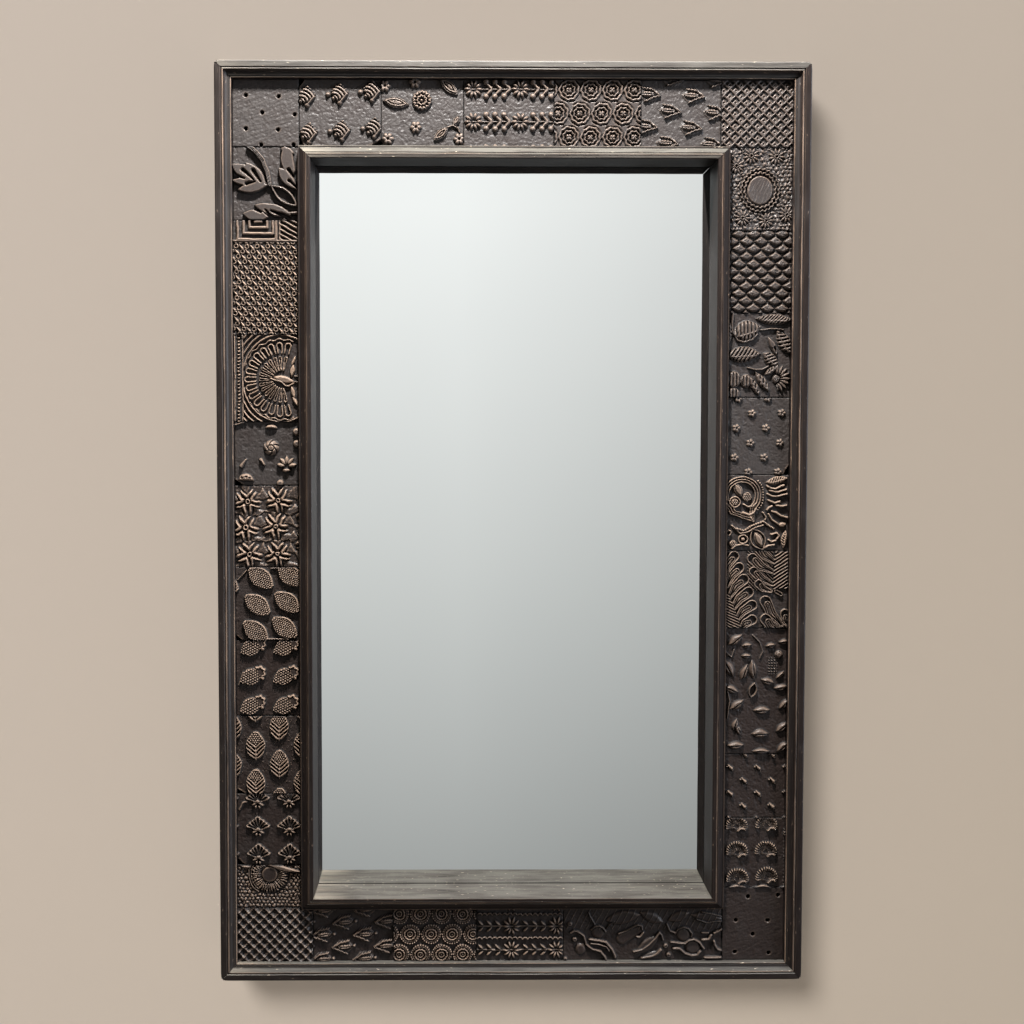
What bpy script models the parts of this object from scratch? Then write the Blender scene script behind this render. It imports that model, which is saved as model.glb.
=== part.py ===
"""Wall mirror in a deep wooden frame faced with old carved printing blocks.

An outer and an inner moulding, both boards on edge with mitred corners, leave a channel
between them. Carved blocks fill the channel and are glued to a half-lapped carrier frame
behind it. The glass lies behind the inner moulding, inside the carrier frame, with a
packing card and a screwed back board over it. Two strap hangers carry loose D-rings.

X runs to the right seen from the front, Z up, and the front faces -Y. The origin lies
behind the middle of the frame, in the plane of the back board's rear face and the wall.
"""

import bpy
import bmesh
from collections import namedtuple
from math import cos, pi, sin
from mathutils import Vector

MM = 0.001

# Overall frame, seen from the front.
FRAME_WIDTH = 640 * MM
FRAME_HEIGHT = 1000 * MM

# Face widths from the outer edge towards the glass.
OUTER_WIDTH = 17.2 * MM
CHANNEL_LEFT = 71.1 * MM
CHANNEL_RIGHT = 68.8 * MM
CHANNEL_TOP = 72 * MM
CHANNEL_BOTTOM = 60.3 * MM
INNER_WIDTH = 14 * MM

# Depths, counted from the front plane towards the wall.
GLASS_SETBACK = 60 * MM
BLOCK_SETBACK = 12 * MM
CARRIER_THICKNESS = 10 * MM
GLASS_THICKNESS = 5 * MM
BOARD_THICKNESS = 6 * MM

# The inner moulding leans in towards the glass by this much over its depth.
REVEAL_DRAFT = 0.5 * MM

# Seats and gaps.
GAP = 0.3 * MM
GLASS_OVERLAP = 8 * MM
GLASS_CLEARANCE = 0.5 * MM
BOARD_OVERLAP = 22 * MM
BLOCK_JOINT = 0.6 * MM

# Outer moulding: flat band, groove, bead, cove and inner fillet.
BAND_WIDTH = 7 * MM
BAND_ROUND = 1.2 * MM
GROOVE_WIDTH = 1 * MM
GROOVE_DEPTH = 1.3 * MM
BEAD_WIDTH = 1.8 * MM
COVE_RADIUS = 5 * MM
COVE_STEP = 0.8 * MM
COVE_FACETS = 5

# Inner moulding: low fillet, sloping shelf, groove and front strip.
SHELF_FILLET = 2 * MM
SHELF_DROP = 5.5 * MM
SHELF_WIDTH = 6.2 * MM
SHELF_RISE = 1.3 * MM
STRIP_GROOVE = 0.9 * MM
STRIP_ROUND = 0.9 * MM

# Carved blocks.
BLOCK_CHAMFER = 1.2 * MM
DRILL_RADIUS = 2.3 * MM
DRILL_DEPTH = 18 * MM
DRILL_PITCH_X = 35 * MM
DRILL_PITCH_Z = 17.5 * MM
DRILL_SIDES = 10

# Arrises broken on the glass, the card and the board.
SHEET_ARRIS = 0.8 * MM

# Strap hangers and their D-rings, on the backs of the carrier stiles.
HANGER_HEIGHT = 250 * MM
HANGER_INSET = 43 * MM
STRAP_WIDTH = 14 * MM
STRAP_LENGTH = 38 * MM
STRAP_THICKNESS = 1 * MM
EYE_CLEARANCE = 0.3 * MM
EYE_SEAT = 0.4 * MM
EYE_FACETS = 14
EYE_OPEN_ANGLE = 0.25 * pi
RING_WIRE = 1.5 * MM
RING_WIDTH = 22 * MM
RING_STRAIGHT = 4 * MM
RING_FACETS = 16
SCREW_DROPS = (21 * MM, 32 * MM)
SCREW_SHANK = 1.7 * MM
SCREW_HEAD = 3.3 * MM
SCREW_HEAD_RISE = 1.5 * MM
SCREW_HEAD_FLAT = 2 * MM
SCREW_HEAD_CROWN = 0.3 * MM
SCREW_LENGTH = 8 * MM
SCREW_SIDES = 12
SCREW_CLEARANCE = 0.3 * MM

# Worked out from the sizes above.
CARRIER_BACK = GLASS_SETBACK + CARRIER_THICKNESS
TOTAL_DEPTH = CARRIER_BACK + GAP + BOARD_THICKNESS
RING_AXIS_RISE = EYE_SEAT + STRAP_THICKNESS + EYE_CLEARANCE + RING_WIRE

LEFT_MARGIN = OUTER_WIDTH + CHANNEL_LEFT + INNER_WIDTH
RIGHT_MARGIN = OUTER_WIDTH + CHANNEL_RIGHT + INNER_WIDTH
TOP_MARGIN = OUTER_WIDTH + CHANNEL_TOP + INNER_WIDTH
BOTTOM_MARGIN = OUTER_WIDTH + CHANNEL_BOTTOM + INNER_WIDTH

Rect = namedtuple("Rect", "left right bottom top")

FRAME = Rect(-FRAME_WIDTH / 2, FRAME_WIDTH / 2, -FRAME_HEIGHT / 2, FRAME_HEIGHT / 2)
OPENING = Rect(
    FRAME.left + LEFT_MARGIN,
    FRAME.right - RIGHT_MARGIN,
    FRAME.bottom + BOTTOM_MARGIN,
    FRAME.top - TOP_MARGIN,
)


def grown(rect, by):
    return Rect(rect.left - by, rect.right + by, rect.bottom - by, rect.top + by)


INSIDE_OUTER = grown(FRAME, -OUTER_WIDTH)
OUTSIDE_INNER = grown(OPENING, INNER_WIDTH)
GLASS = grown(OPENING, GLASS_OVERLAP)
CARRIER_OPENING = grown(GLASS, GLASS_CLEARANCE)
BOARD = grown(CARRIER_OPENING, BOARD_OVERLAP)

# Each block: its node name, its length along the course, how far its face stands forward
# of the others, its chipped corners as (corner, size across, size along), and where the
# middle hole of a drilled one lies, across and up from the middle of its face.
Block = namedtuple("Block", "name length proud chips drill", defaults=((), None))

TOP_COURSE = (
    Block("block_top_1_drilled", 71.9 * MM, -4.7 * MM, (), (-3.4 * MM, 0.6 * MM)),
    Block("block_top_2_sprigs", 88.5 * MM, 0.6 * MM, (("bottom_right", 7 * MM, 4 * MM),)),
    Block("block_top_3_posies", 89 * MM, 0.0 * MM, (("bottom_left", 4 * MM, 6 * MM),)),
    Block("block_top_4_garlands", 97.5 * MM, 0.9 * MM),
    Block("block_top_5_roundels", 94.1 * MM, -0.4 * MM),
    Block("block_top_6_leaf_sprigs", 86.5 * MM, 0.4 * MM),
    Block("block_top_7_lattice", 78.1 * MM, -0.8 * MM),
)
LEFT_COURSE = (
    Block("block_left_1_vine", 79 * MM, 0.4 * MM),
    Block("block_left_2_meander", 23.6 * MM, -0.6 * MM),
    Block("block_left_3_pinwheels", 99.7 * MM, 0.5 * MM),
    Block("block_left_4_peacock", 94 * MM, 0.0 * MM),
    Block("block_left_5_sparse_flowers", 69.5 * MM, 0.8 * MM, (("bottom_left", 9 * MM, 6 * MM),)),
    Block("block_left_6_star_flowers", 89.2 * MM, -0.3 * MM),
    Block("block_left_7_pods", 80.8 * MM, 0.6 * MM, (("bottom_left", 6 * MM, 5 * MM),)),
    Block("block_left_8_thistles", 83.5 * MM, -0.6 * MM),
    Block("block_left_9_berries", 86.5 * MM, 0.3 * MM, (("bottom_left", 8 * MM, 5 * MM),)),
    Block("block_left_10_palmettes", 79.3 * MM, 0.9 * MM, (("bottom_left", 7 * MM, 7 * MM),)),
    Block("block_left_11_sunburst", 48.2 * MM, -0.4 * MM, (("top_right", 5 * MM, 4 * MM),)),
)
RIGHT_COURSE = (
    Block("block_right_1_medallion", 89.1 * MM, 0.3 * MM),
    Block("block_right_2_scales", 88.6 * MM, -0.5 * MM),
    Block("block_right_3_scroll_leaves", 91.8 * MM, 0.6 * MM),
    Block("block_right_4_small_flowers", 84.3 * MM, 0.0 * MM, (("bottom_right", 6 * MM, 4 * MM),)),
    Block("block_right_5_paisley", 83.2 * MM, 0.7 * MM),
    Block("block_right_6_ferns", 85.5 * MM, -0.4 * MM),
    Block("block_right_7_tulips", 139.9 * MM, 0.5 * MM),
    Block("block_right_8_buds", 71.4 * MM, -0.7 * MM),
    Block("block_right_9_shells", 78 * MM, 0.4 * MM),
    Block("block_right_10_drilled", 81.9 * MM, -3.4 * MM, (), (-1 * MM, -13 * MM)),
)
BOTTOM_COURSE = (
    Block("block_bottom_1_scallops", 83.2 * MM, 0.2 * MM),
    Block("block_bottom_2_leaf_sprigs", 88.7 * MM, -0.5 * MM),
    Block("block_bottom_3_roundels", 92.2 * MM, 0.4 * MM),
    Block("block_bottom_4_garlands", 96.2 * MM, 0.0 * MM),
    Block("block_bottom_5_blossoms", 176.5 * MM, 0.6 * MM),
)


def clear_scene():
    for old in list(bpy.data.objects):
        bpy.data.objects.remove(old, do_unlink=True)


def make_material(name, colour, roughness, metallic=0.0):
    material = bpy.data.materials.new(name)
    material.use_nodes = True
    shader = material.node_tree.nodes["Principled BSDF"]
    shader.inputs["Base Color"].default_value = (*colour, 1.0)
    shader.inputs["Roughness"].default_value = roughness
    shader.inputs["Metallic"].default_value = metallic
    return material


def place(name, mesh, material, parent, origin=Vector((0, 0, 0))):
    """A mesh drawn in world coordinates becomes an object whose own origin is at origin."""
    for vertex in mesh.vertices:
        vertex.co -= origin
    mesh.materials.append(material)
    thing = bpy.data.objects.new(name, mesh)
    thing.location = origin
    thing.parent = parent
    bpy.context.collection.objects.link(thing)
    return thing


def finished(shape, name):
    bmesh.ops.recalc_face_normals(shape, faces=shape.faces)
    mesh = bpy.data.meshes.new(name)
    shape.to_mesh(mesh)
    shape.free()
    return mesh


def depth_y(depth):
    """World Y of a point this far behind the front plane."""
    return depth - TOTAL_DEPTH


def prism(outline, direction):
    """A closed prism: a flat outline of world points, drawn out along a vector."""
    shape = bmesh.new()
    base = shape.faces.new([shape.verts.new(point) for point in outline])
    drawn = bmesh.ops.extrude_face_region(shape, geom=[base])
    moved = [item for item in drawn["geom"] if isinstance(item, bmesh.types.BMVert)]
    bmesh.ops.translate(shape, verts=moved, vec=direction)
    return shape


def arc(centre, radius, start, end, facets):
    """Points on an arc, both ends included, as (across, depth) pairs."""
    points = []
    for step in range(facets + 1):
        angle = start + (end - start) * step / facets
        points.append((centre[0] + radius * cos(angle), centre[1] + radius * sin(angle)))
    return points


def cutter(name, shape, parent):
    """A guide solid that only cuts others."""
    thing = bpy.data.objects.new(name, finished(shape, name))
    thing.hide_render = True
    thing.display_type = "WIRE"
    thing.parent = parent
    bpy.context.collection.objects.link(thing)
    return thing


def cut(thing, tool):
    boolean = thing.modifiers.new(tool.name, "BOOLEAN")
    boolean.operation = "DIFFERENCE"
    boolean.solver = "EXACT"
    boolean.object = tool


def rod(centre, radius, y_from, y_to, sides):
    """A round bar along Y through a point given as (x, z)."""
    outline = []
    for step in range(sides):
        angle = 2 * pi * step / sides
        outline.append((centre[0] + radius * cos(angle), y_from, centre[1] + radius * sin(angle)))
    return prism(outline, (0, y_to - y_from, 0))


def outer_profile():
    """Section of the outer moulding as (inward from the edge, depth) pairs."""
    groove_mid = BAND_WIDTH + GROOVE_WIDTH / 2
    bead_start = BAND_WIDTH + GROOVE_WIDTH
    bead_radius = BEAD_WIDTH / 2
    bead_centre = (bead_start + bead_radius, GROOVE_DEPTH / 2 + bead_radius / 2)
    cove_start = bead_start + BEAD_WIDTH
    cove_lip = bead_centre[1]
    cove_centre = (cove_start + COVE_RADIUS, cove_lip)
    fillet_depth = cove_lip + COVE_RADIUS + COVE_STEP
    rear = CARRIER_BACK
    points = [(0, rear)]
    points += arc((BAND_ROUND, BAND_ROUND), BAND_ROUND, pi, 1.5 * pi, 3)
    points += [(BAND_WIDTH, 0), (groove_mid, GROOVE_DEPTH)]
    points += arc(bead_centre, bead_radius, pi, 2 * pi, 4)
    points += arc(cove_centre, COVE_RADIUS, pi, 0.5 * pi, COVE_FACETS)[1:]
    points += [(cove_centre[0], fillet_depth), (OUTER_WIDTH, fillet_depth), (OUTER_WIDTH, rear)]
    return points


def inner_profile():
    """Section of the inner moulding as (inward from the channel, depth) pairs."""
    strip_start = SHELF_FILLET + SHELF_WIDTH
    rear = GLASS_SETBACK - GAP
    round_centre = (INNER_WIDTH - STRIP_ROUND, STRIP_ROUND)
    points = [(0, rear), (0, SHELF_DROP), (SHELF_FILLET, SHELF_DROP)]
    points += [(strip_start - STRIP_GROOVE, SHELF_RISE), (strip_start, SHELF_RISE + STRIP_GROOVE)]
    points += [(strip_start, STRIP_ROUND), (strip_start + STRIP_ROUND, 0)]
    points += arc(round_centre, STRIP_ROUND, 1.5 * pi, 2 * pi, 3)
    points += [(INNER_WIDTH + REVEAL_DRAFT, rear)]
    return points


def mitred_bar(name, side, rect, profile):
    """One side of a mitred frame: the section runs along a side of the rectangle."""
    relief = GAP / 2 * 2 ** 0.5
    shape = bmesh.new()
    ends = ([], [])
    for inward, depth in profile:
        y = depth_y(depth)
        short = inward + relief
        if side in ("top", "bottom"):
            z = rect.top - inward if side == "top" else rect.bottom + inward
            corners = ((rect.left + short, y, z), (rect.right - short, y, z))
        else:
            x = rect.right - inward if side == "right" else rect.left + inward
            corners = ((x, y, rect.bottom + short), (x, y, rect.top - short))
        for end, corner in zip(ends, corners):
            end.append(shape.verts.new(corner))
    count = len(profile)
    for index in range(count):
        after = (index + 1) % count
        shape.faces.new((ends[0][index], ends[0][after], ends[1][after], ends[1][index]))
    shape.faces.new(ends[0])
    shape.faces.new(ends[1])
    return finished(shape, name)


def build_mouldings(root, wood):
    for side in ("top", "bottom", "left", "right"):
        outer = f"outer_moulding_{side}"
        place(outer, mitred_bar(outer, side, FRAME, outer_profile()), wood, root)
        inner = f"inner_moulding_{side}"
        place(inner, mitred_bar(inner, side, OUTSIDE_INNER, inner_profile()), wood, root)


def build_carrier(root, wood):
    """Rails keep their rear half at the laps, stiles their front half."""
    outside = grown(INSIDE_OUTER, -GAP)
    inside = CARRIER_OPENING
    front = depth_y(GLASS_SETBACK)
    rear = depth_y(CARRIER_BACK)
    middle = (front + rear) / 2
    rail_lap = middle + GAP / 2
    stile_lap = middle - GAP / 2
    for name, low, high in (
        ("carrier_rail_top", inside.top, outside.top),
        ("carrier_rail_bottom", outside.bottom, inside.bottom),
    ):
        shoulder_left = inside.left + GAP
        shoulder_right = inside.right - GAP
        outline = [
            (outside.left, rail_lap, low),
            (outside.left, rear, low),
            (outside.right, rear, low),
            (outside.right, rail_lap, low),
            (shoulder_right, rail_lap, low),
            (shoulder_right, front, low),
            (shoulder_left, front, low),
            (shoulder_left, rail_lap, low),
        ]
        place(name, finished(prism(outline, (0, 0, high - low)), name), wood, root)
    stiles = {}
    for name, low, high in (
        ("carrier_stile_left", outside.left, inside.left),
        ("carrier_stile_right", inside.right, outside.right),
    ):
        shoulder_bottom = inside.bottom + GAP
        shoulder_top = inside.top - GAP
        outline = [
            (low, front, outside.bottom),
            (low, stile_lap, outside.bottom),
            (low, stile_lap, shoulder_bottom),
            (low, rear, shoulder_bottom),
            (low, rear, shoulder_top),
            (low, stile_lap, shoulder_top),
            (low, stile_lap, outside.top),
            (low, front, outside.top),
        ]
        mesh = finished(prism(outline, (high - low, 0, 0)), name)
        stiles[name] = place(name, mesh, wood, root)
    return stiles


def sheet(name, rect, depth_front, depth_rear):
    """A flat panel with its front and rear arrises broken."""
    y_front = depth_y(depth_front)
    outline = [
        (rect.left, y_front, rect.bottom),
        (rect.right, y_front, rect.bottom),
        (rect.right, y_front, rect.top),
        (rect.left, y_front, rect.top),
    ]
    shape = prism(outline, (0, depth_rear - depth_front, 0))
    flat = [edge for edge in shape.edges if abs(edge.verts[0].co.y - edge.verts[1].co.y) < GAP]
    bmesh.ops.bevel(shape, geom=flat, offset=SHEET_ARRIS, segments=1, affect="EDGES")
    return finished(shape, name)


def build_glazing(root, mirror, card, ply):
    glass_rear = GLASS_SETBACK + GLASS_THICKNESS
    place("mirror_glass", sheet("mirror_glass", GLASS, GLASS_SETBACK, glass_rear), mirror, root)
    packing = sheet("packing_card", GLASS, glass_rear + GAP, CARRIER_BACK)
    place("packing_card", packing, card, root)
    board = sheet("back_board", BOARD, CARRIER_BACK + GAP, TOTAL_DEPTH)
    place("back_board", board, ply, root)


def block_outline(rect, chips):
    """The block's outline from the lower left, anticlockwise, with chipped corners cut off."""
    sizes = {corner: (across, along) for corner, across, along in chips}
    corners = (
        ("bottom_left", rect.left, rect.bottom, 1, 1),
        ("bottom_right", rect.right, rect.bottom, -1, 1),
        ("top_right", rect.right, rect.top, -1, -1),
        ("top_left", rect.left, rect.top, 1, -1),
    )
    points = []
    for index, (corner, x, z, inward_x, inward_z) in enumerate(corners):
        if corner not in sizes:
            points.append((x, z))
            continue
        across, along = sizes[corner]
        pair = [(x, z + inward_z * along), (x + inward_x * across, z)]
        points += pair if index % 2 == 0 else pair[::-1]
    return points


def drill_holes(rect, start):
    """Centres of a staggered pattern of holes that stays inside the block."""
    middle_x = (rect.left + rect.right) / 2 + start[0]
    middle_z = (rect.bottom + rect.top) / 2 + start[1]
    edge = DRILL_RADIUS + BLOCK_CHAMFER
    rows = int((rect.top - rect.bottom) / 2 / DRILL_PITCH_Z) + 1
    columns = int((rect.right - rect.left) / 2 / DRILL_PITCH_X) + 1
    centres = []
    for row in range(-rows, rows + 1):
        shift = DRILL_PITCH_X / 2 if row % 2 else 0.0
        for column in range(-columns, columns + 1):
            x = middle_x + column * DRILL_PITCH_X + shift
            z = middle_z + row * DRILL_PITCH_Z
            inside_x = rect.left + edge < x < rect.right - edge
            inside_z = rect.bottom + edge < z < rect.top - edge
            if inside_x and inside_z:
                centres.append((x, z))
    return centres


def build_block(block, rect, root, wood):
    front = depth_y(BLOCK_SETBACK - block.proud)
    rear = depth_y(GLASS_SETBACK - GAP)
    outline = [(x, front, z) for x, z in block_outline(rect, block.chips)]
    shape = prism(outline, (0, rear - front, 0))
    arrises = []
    for edge in shape.edges:
        if all(abs(vertex.co.y - front) < GAP for vertex in edge.verts):
            arrises.append(edge)
    bmesh.ops.bevel(shape, geom=arrises, offset=BLOCK_CHAMFER, segments=1, affect="EDGES")
    thing = place(block.name, finished(shape, block.name), wood, root)
    if block.drill:
        drills = bmesh.new()
        for centre in drill_holes(rect, block.drill):
            bar = rod(centre, DRILL_RADIUS, front - GAP, front + DRILL_DEPTH, DRILL_SIDES)
            piece = bpy.data.meshes.new("drill")
            bar.to_mesh(piece)
            bar.free()
            drills.from_mesh(piece)
        cut(thing, cutter(f"{block.name}_drills", drills, root))


def course_cuts(course, start, end):
    """Where each block of a course begins and ends, filling the run from start to end."""
    nominal = sum(block.length for block in course)
    scale = (end - start) / nominal
    place_along = start
    spans = []
    for block in course:
        after = place_along + block.length * scale
        spans.append((block, place_along, after))
        place_along = after
    return spans


def build_blocks(root, wood):
    top_low = INSIDE_OUTER.top - CHANNEL_TOP
    bottom_high = INSIDE_OUTER.bottom + CHANNEL_BOTTOM
    left_high = INSIDE_OUTER.left + CHANNEL_LEFT
    right_low = INSIDE_OUTER.right - CHANNEL_RIGHT
    seated = []
    for block, start, end in course_cuts(TOP_COURSE, INSIDE_OUTER.left, INSIDE_OUTER.right):
        seated.append((block, Rect(start, end, top_low, INSIDE_OUTER.top)))
    for block, start, end in course_cuts(LEFT_COURSE, top_low, bottom_high):
        seated.append((block, Rect(INSIDE_OUTER.left, left_high, end, start)))
    for block, start, end in course_cuts(RIGHT_COURSE, top_low, INSIDE_OUTER.bottom):
        seated.append((block, Rect(right_low, INSIDE_OUTER.right, end, start)))
    for block, start, end in course_cuts(BOTTOM_COURSE, INSIDE_OUTER.left, right_low):
        seated.append((block, Rect(start, end, INSIDE_OUTER.bottom, bottom_high)))
    for block, rect in seated:
        build_block(block, grown(rect, -BLOCK_JOINT / 2), root, wood)


def strap_section(axis_y, axis_z):
    """Strap and rolled eye in the YZ plane: a flat leaf that curls round the ring's bar."""
    bore = RING_WIRE + EYE_CLEARANCE
    outside = bore + STRAP_THICKNESS
    leaf_low = axis_z - STRAP_LENGTH
    leaf_rear = axis_y - outside
    start = pi
    end = -pi + EYE_OPEN_ANGLE
    outer = arc((axis_y, axis_z), outside, start, end, EYE_FACETS)
    inner = arc((axis_y, axis_z), bore, end, start, EYE_FACETS)
    foot = leaf_rear + STRAP_THICKNESS
    return [(leaf_rear, leaf_low)] + outer + inner + [(foot, leaf_low)]


def build_hanger(side, x, stile, root, steel):
    axis = Vector((x, depth_y(CARRIER_BACK) + RING_AXIS_RISE, HANGER_HEIGHT))
    section = strap_section(axis.y, axis.z)
    outline = [(x - STRAP_WIDTH / 2, y, z) for y, z in section]
    name = f"hanger_strap_{side}"
    strap = place(name, finished(prism(outline, (STRAP_WIDTH, 0, 0)), name), steel, root)
    strap_back = axis.y - RING_WIRE - EYE_CLEARANCE - STRAP_THICKNESS
    strap_front = strap_back + STRAP_THICKNESS
    for place_name, drop in zip(("upper", "lower"), SCREW_DROPS):
        centre = (x, axis.z - drop)
        hole = SCREW_SHANK + SCREW_CLEARANCE
        bar = rod(centre, hole, strap_back - SCREW_LENGTH - GAP, strap_front + GAP, SCREW_SIDES)
        tool = cutter(f"hanger_screw_hole_{side}_{place_name}", bar, root)
        cut(strap, tool)
        cut(stile, tool)
        screw_name = f"hanger_screw_{side}_{place_name}"
        mesh = screw_mesh(screw_name, centre, strap_front + GAP, strap_back - SCREW_LENGTH)
        place(screw_name, mesh, steel, root, Vector((centre[0], strap_front, centre[1])))
    build_ring(f"hanger_ring_{side}", axis, root, steel)


def screw_mesh(name, centre, head_seat, tip):
    """A round-headed wood screw along Y, turned from its half section."""
    head_top = head_seat + SCREW_HEAD_RISE
    section = [(0, head_top), (SCREW_HEAD_FLAT, head_top - SCREW_HEAD_CROWN)]
    section += [(SCREW_HEAD, head_seat), (SCREW_SHANK, head_seat)]
    section += [(SCREW_SHANK, tip + 2 * SCREW_SHANK), (0, tip)]
    shape = bmesh.new()
    line = [shape.verts.new((centre[0] + r, y, centre[1])) for r, y in section]
    edges = [shape.edges.new(pair) for pair in zip(line, line[1:])]
    bmesh.ops.spin(
        shape,
        geom=line + edges,
        cent=(centre[0], 0, centre[1]),
        axis=(0, 1, 0),
        angle=2 * pi,
        steps=SCREW_SIDES,
    )
    bmesh.ops.remove_doubles(shape, verts=shape.verts, dist=0.01 * MM)
    return finished(shape, name)


def build_ring(name, axis, root, steel):
    """A loose D of wire that hangs from its straight bar, which turns in the strap's eye."""
    half = RING_WIDTH / 2
    path = [(-half, 0.0), (half, 0.0)]
    for step in range(RING_FACETS + 1):
        angle = -pi * step / RING_FACETS
        path.append((half * cos(angle), half * sin(angle) - RING_STRAIGHT))
    curve = bpy.data.curves.new(name, "CURVE")
    curve.dimensions = "3D"
    curve.bevel_depth = RING_WIRE
    curve.bevel_resolution = 2
    spline = curve.splines.new("POLY")
    spline.points.add(len(path) - 1)
    spline.use_cyclic_u = True
    for point, (x, z) in zip(spline.points, path):
        point.co = (x, 0.0, z, 1.0)
    curve.materials.append(steel)
    ring = bpy.data.objects.new(name, curve)
    ring.location = axis
    ring.parent = root
    bpy.context.collection.objects.link(ring)


def main():
    clear_scene()
    root = bpy.data.objects.new("mirror", None)
    bpy.context.collection.objects.link(root)
    frame_wood = make_material("frame_wood", (0.045, 0.033, 0.028), 0.45)
    block_wood = make_material("block_wood", (0.075, 0.055, 0.045), 0.5)
    carrier_wood = make_material("carrier_wood", (0.32, 0.22, 0.13), 0.7)
    mirror = make_material("mirror_silver", (0.86, 0.88, 0.87), 0.02, 1.0)
    card = make_material("packing_card", (0.42, 0.31, 0.2), 0.9)
    ply = make_material("back_ply", (0.45, 0.33, 0.2), 0.75)
    steel = make_material("hanger_steel", (0.55, 0.54, 0.52), 0.35, 1.0)
    build_mouldings(root, frame_wood)
    stiles = build_carrier(root, carrier_wood)
    build_glazing(root, mirror, card, ply)
    build_blocks(root, block_wood)
    hanger_x = FRAME.right - HANGER_INSET
    build_hanger("left", -hanger_x, stiles["carrier_stile_left"], root, steel)
    build_hanger("right", hanger_x, stiles["carrier_stile_right"], root, steel)


main()
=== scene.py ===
"""Looks of the wall mirror: carved printing blocks, waxed mouldings, silvered glass and back.

Every carved block is a fine height field. Its pattern is a formula of the place on the block's
face, in millimetres from the middle of the face, so the same few words (disc, lens, bar, spokes,
lattice) draw all the motifs. The mouldings are sections drawn along their bars.
"""

from collections import namedtuple
from math import atan2, cos, degrees, hypot, pi, radians, sin

import bmesh
import bpy
from mathutils import Matrix, Vector


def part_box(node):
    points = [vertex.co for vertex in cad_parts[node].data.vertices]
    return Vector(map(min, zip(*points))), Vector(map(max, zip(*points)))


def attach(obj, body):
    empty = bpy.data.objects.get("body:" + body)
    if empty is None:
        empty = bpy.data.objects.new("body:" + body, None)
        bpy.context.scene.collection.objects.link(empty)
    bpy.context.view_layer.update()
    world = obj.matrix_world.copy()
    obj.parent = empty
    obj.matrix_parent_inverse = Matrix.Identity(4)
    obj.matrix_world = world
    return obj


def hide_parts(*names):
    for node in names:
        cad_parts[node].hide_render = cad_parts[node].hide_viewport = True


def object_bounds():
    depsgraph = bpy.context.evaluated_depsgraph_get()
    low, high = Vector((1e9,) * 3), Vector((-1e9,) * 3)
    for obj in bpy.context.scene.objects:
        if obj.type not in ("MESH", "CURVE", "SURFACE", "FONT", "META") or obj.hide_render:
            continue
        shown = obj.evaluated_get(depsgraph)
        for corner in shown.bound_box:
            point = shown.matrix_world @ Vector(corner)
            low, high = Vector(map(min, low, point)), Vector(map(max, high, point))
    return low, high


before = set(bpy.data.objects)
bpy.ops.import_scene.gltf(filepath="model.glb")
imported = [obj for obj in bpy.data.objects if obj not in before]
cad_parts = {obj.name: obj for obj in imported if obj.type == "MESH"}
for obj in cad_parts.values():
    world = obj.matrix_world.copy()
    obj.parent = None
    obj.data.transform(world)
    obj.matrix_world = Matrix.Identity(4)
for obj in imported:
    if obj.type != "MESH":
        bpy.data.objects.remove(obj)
CAD_LOW, CAD_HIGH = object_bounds()

MM = 0.001

# Camera, at the photograph's viewing angle.
CAMERA_PLACE = (-0.055, -1.9233, 0.1258)
CAMERA_PITCH = -3.37
CAMERA_YAW = -0.70
CAMERA_ROLL = -0.07
CAMERA_LENS = 60.0
CAMERA_SENSOR = 36.0
CAMERA_SHIFT = 0.0285

# Stage and light.
WALL_GAP = 1 * MM
WALL_REACH = 5.0
FLOOR_DROP = 0.75
KEY_PLACE = (-0.05, -0.62, 1.16)
KEY_AIM = (0.0, -0.05, 0.05)
KEY_SIZE = 0.13
KEY_POWER = 42.0
KEY_COLOUR = (1.0, 0.97, 0.94)
WINDOW_PLACE = (2.1, -1.1, 0.35)
WINDOW_AIM = (-0.1, -0.05, 0.0)
WINDOW_SIZE = (1.0, 1.7)
WINDOW_POWER = 38.0
WINDOW_COLOUR = (0.80, 0.88, 1.0)
WALL_LAMP_FROM = (-0.46, -1.0, 0.68)
WALL_LAMP_SPREAD = 20.0
WALL_LAMP_STRENGTH = 3.6
# The share of the wall's look, as the camera sees it, that its lamp gives; the rest is painted light, the
# wall glowing by itself.
WALL_LIT_SHARE = 0.70
BACK_LAMP_FROM = (-0.4, 1.0, 0.5)
BACK_LAMP_SPREAD = 50.0
BACK_LAMP_STRENGTH = 2.6
AMBIENT_ABOVE = 0.11
AMBIENT_BELOW = 0.03
AMBIENT_COLOUR = (1.0, 0.985, 0.965, 1)
BACKDROP_COLOUR = (0.62, 0.58, 0.53, 1)

# What the glass shows: the room's glow from straight below to straight above, and how fast it
# fades towards the right.
ROOM_GLOW = (
    (0.0, (0.16, 0.16, 0.16)),
    (0.36, (0.36, 0.37, 0.365)),
    (0.44, (0.60, 0.615, 0.605)),
    (0.56, (0.96, 0.975, 0.965)),
    (1.0, (1.0, 1.0, 1.0)),
)
ROOM_FADE = 1.5

# Carving: lengths in millimetres, and scales of noise per millimetre.
CELL = 0.58
WARP_REACH = 0.9
WARP_SCALE = 0.07
TOOLED_SCALE = 0.35
TOOLED_HEIGHT = 0.45
LEATHER_SCALE = 0.16
LEATHER_HEIGHT = 1.3
ARRIS = 0.7
ARRIS_DROP = 0.5
RAGGED_EDGE = 1.2
BLUR_STEPS = 5
CHIP_DEPTH = 30.0
CHIP_STEEPNESS = 6.0
SEED_STEP = Vector((37.0, 11.0, 5.0))

# Shares of the map that a face, the sides behind it and a bar take up, and the corner for fills.
FACE_MAP_SHARE = 0.9
SKIRT_MAP_SHARE = 0.06
BAR_MAP_SHARE = 0.96
PARKED_AT = 0.008
PARKED_RADIUS = 0.006

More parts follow.
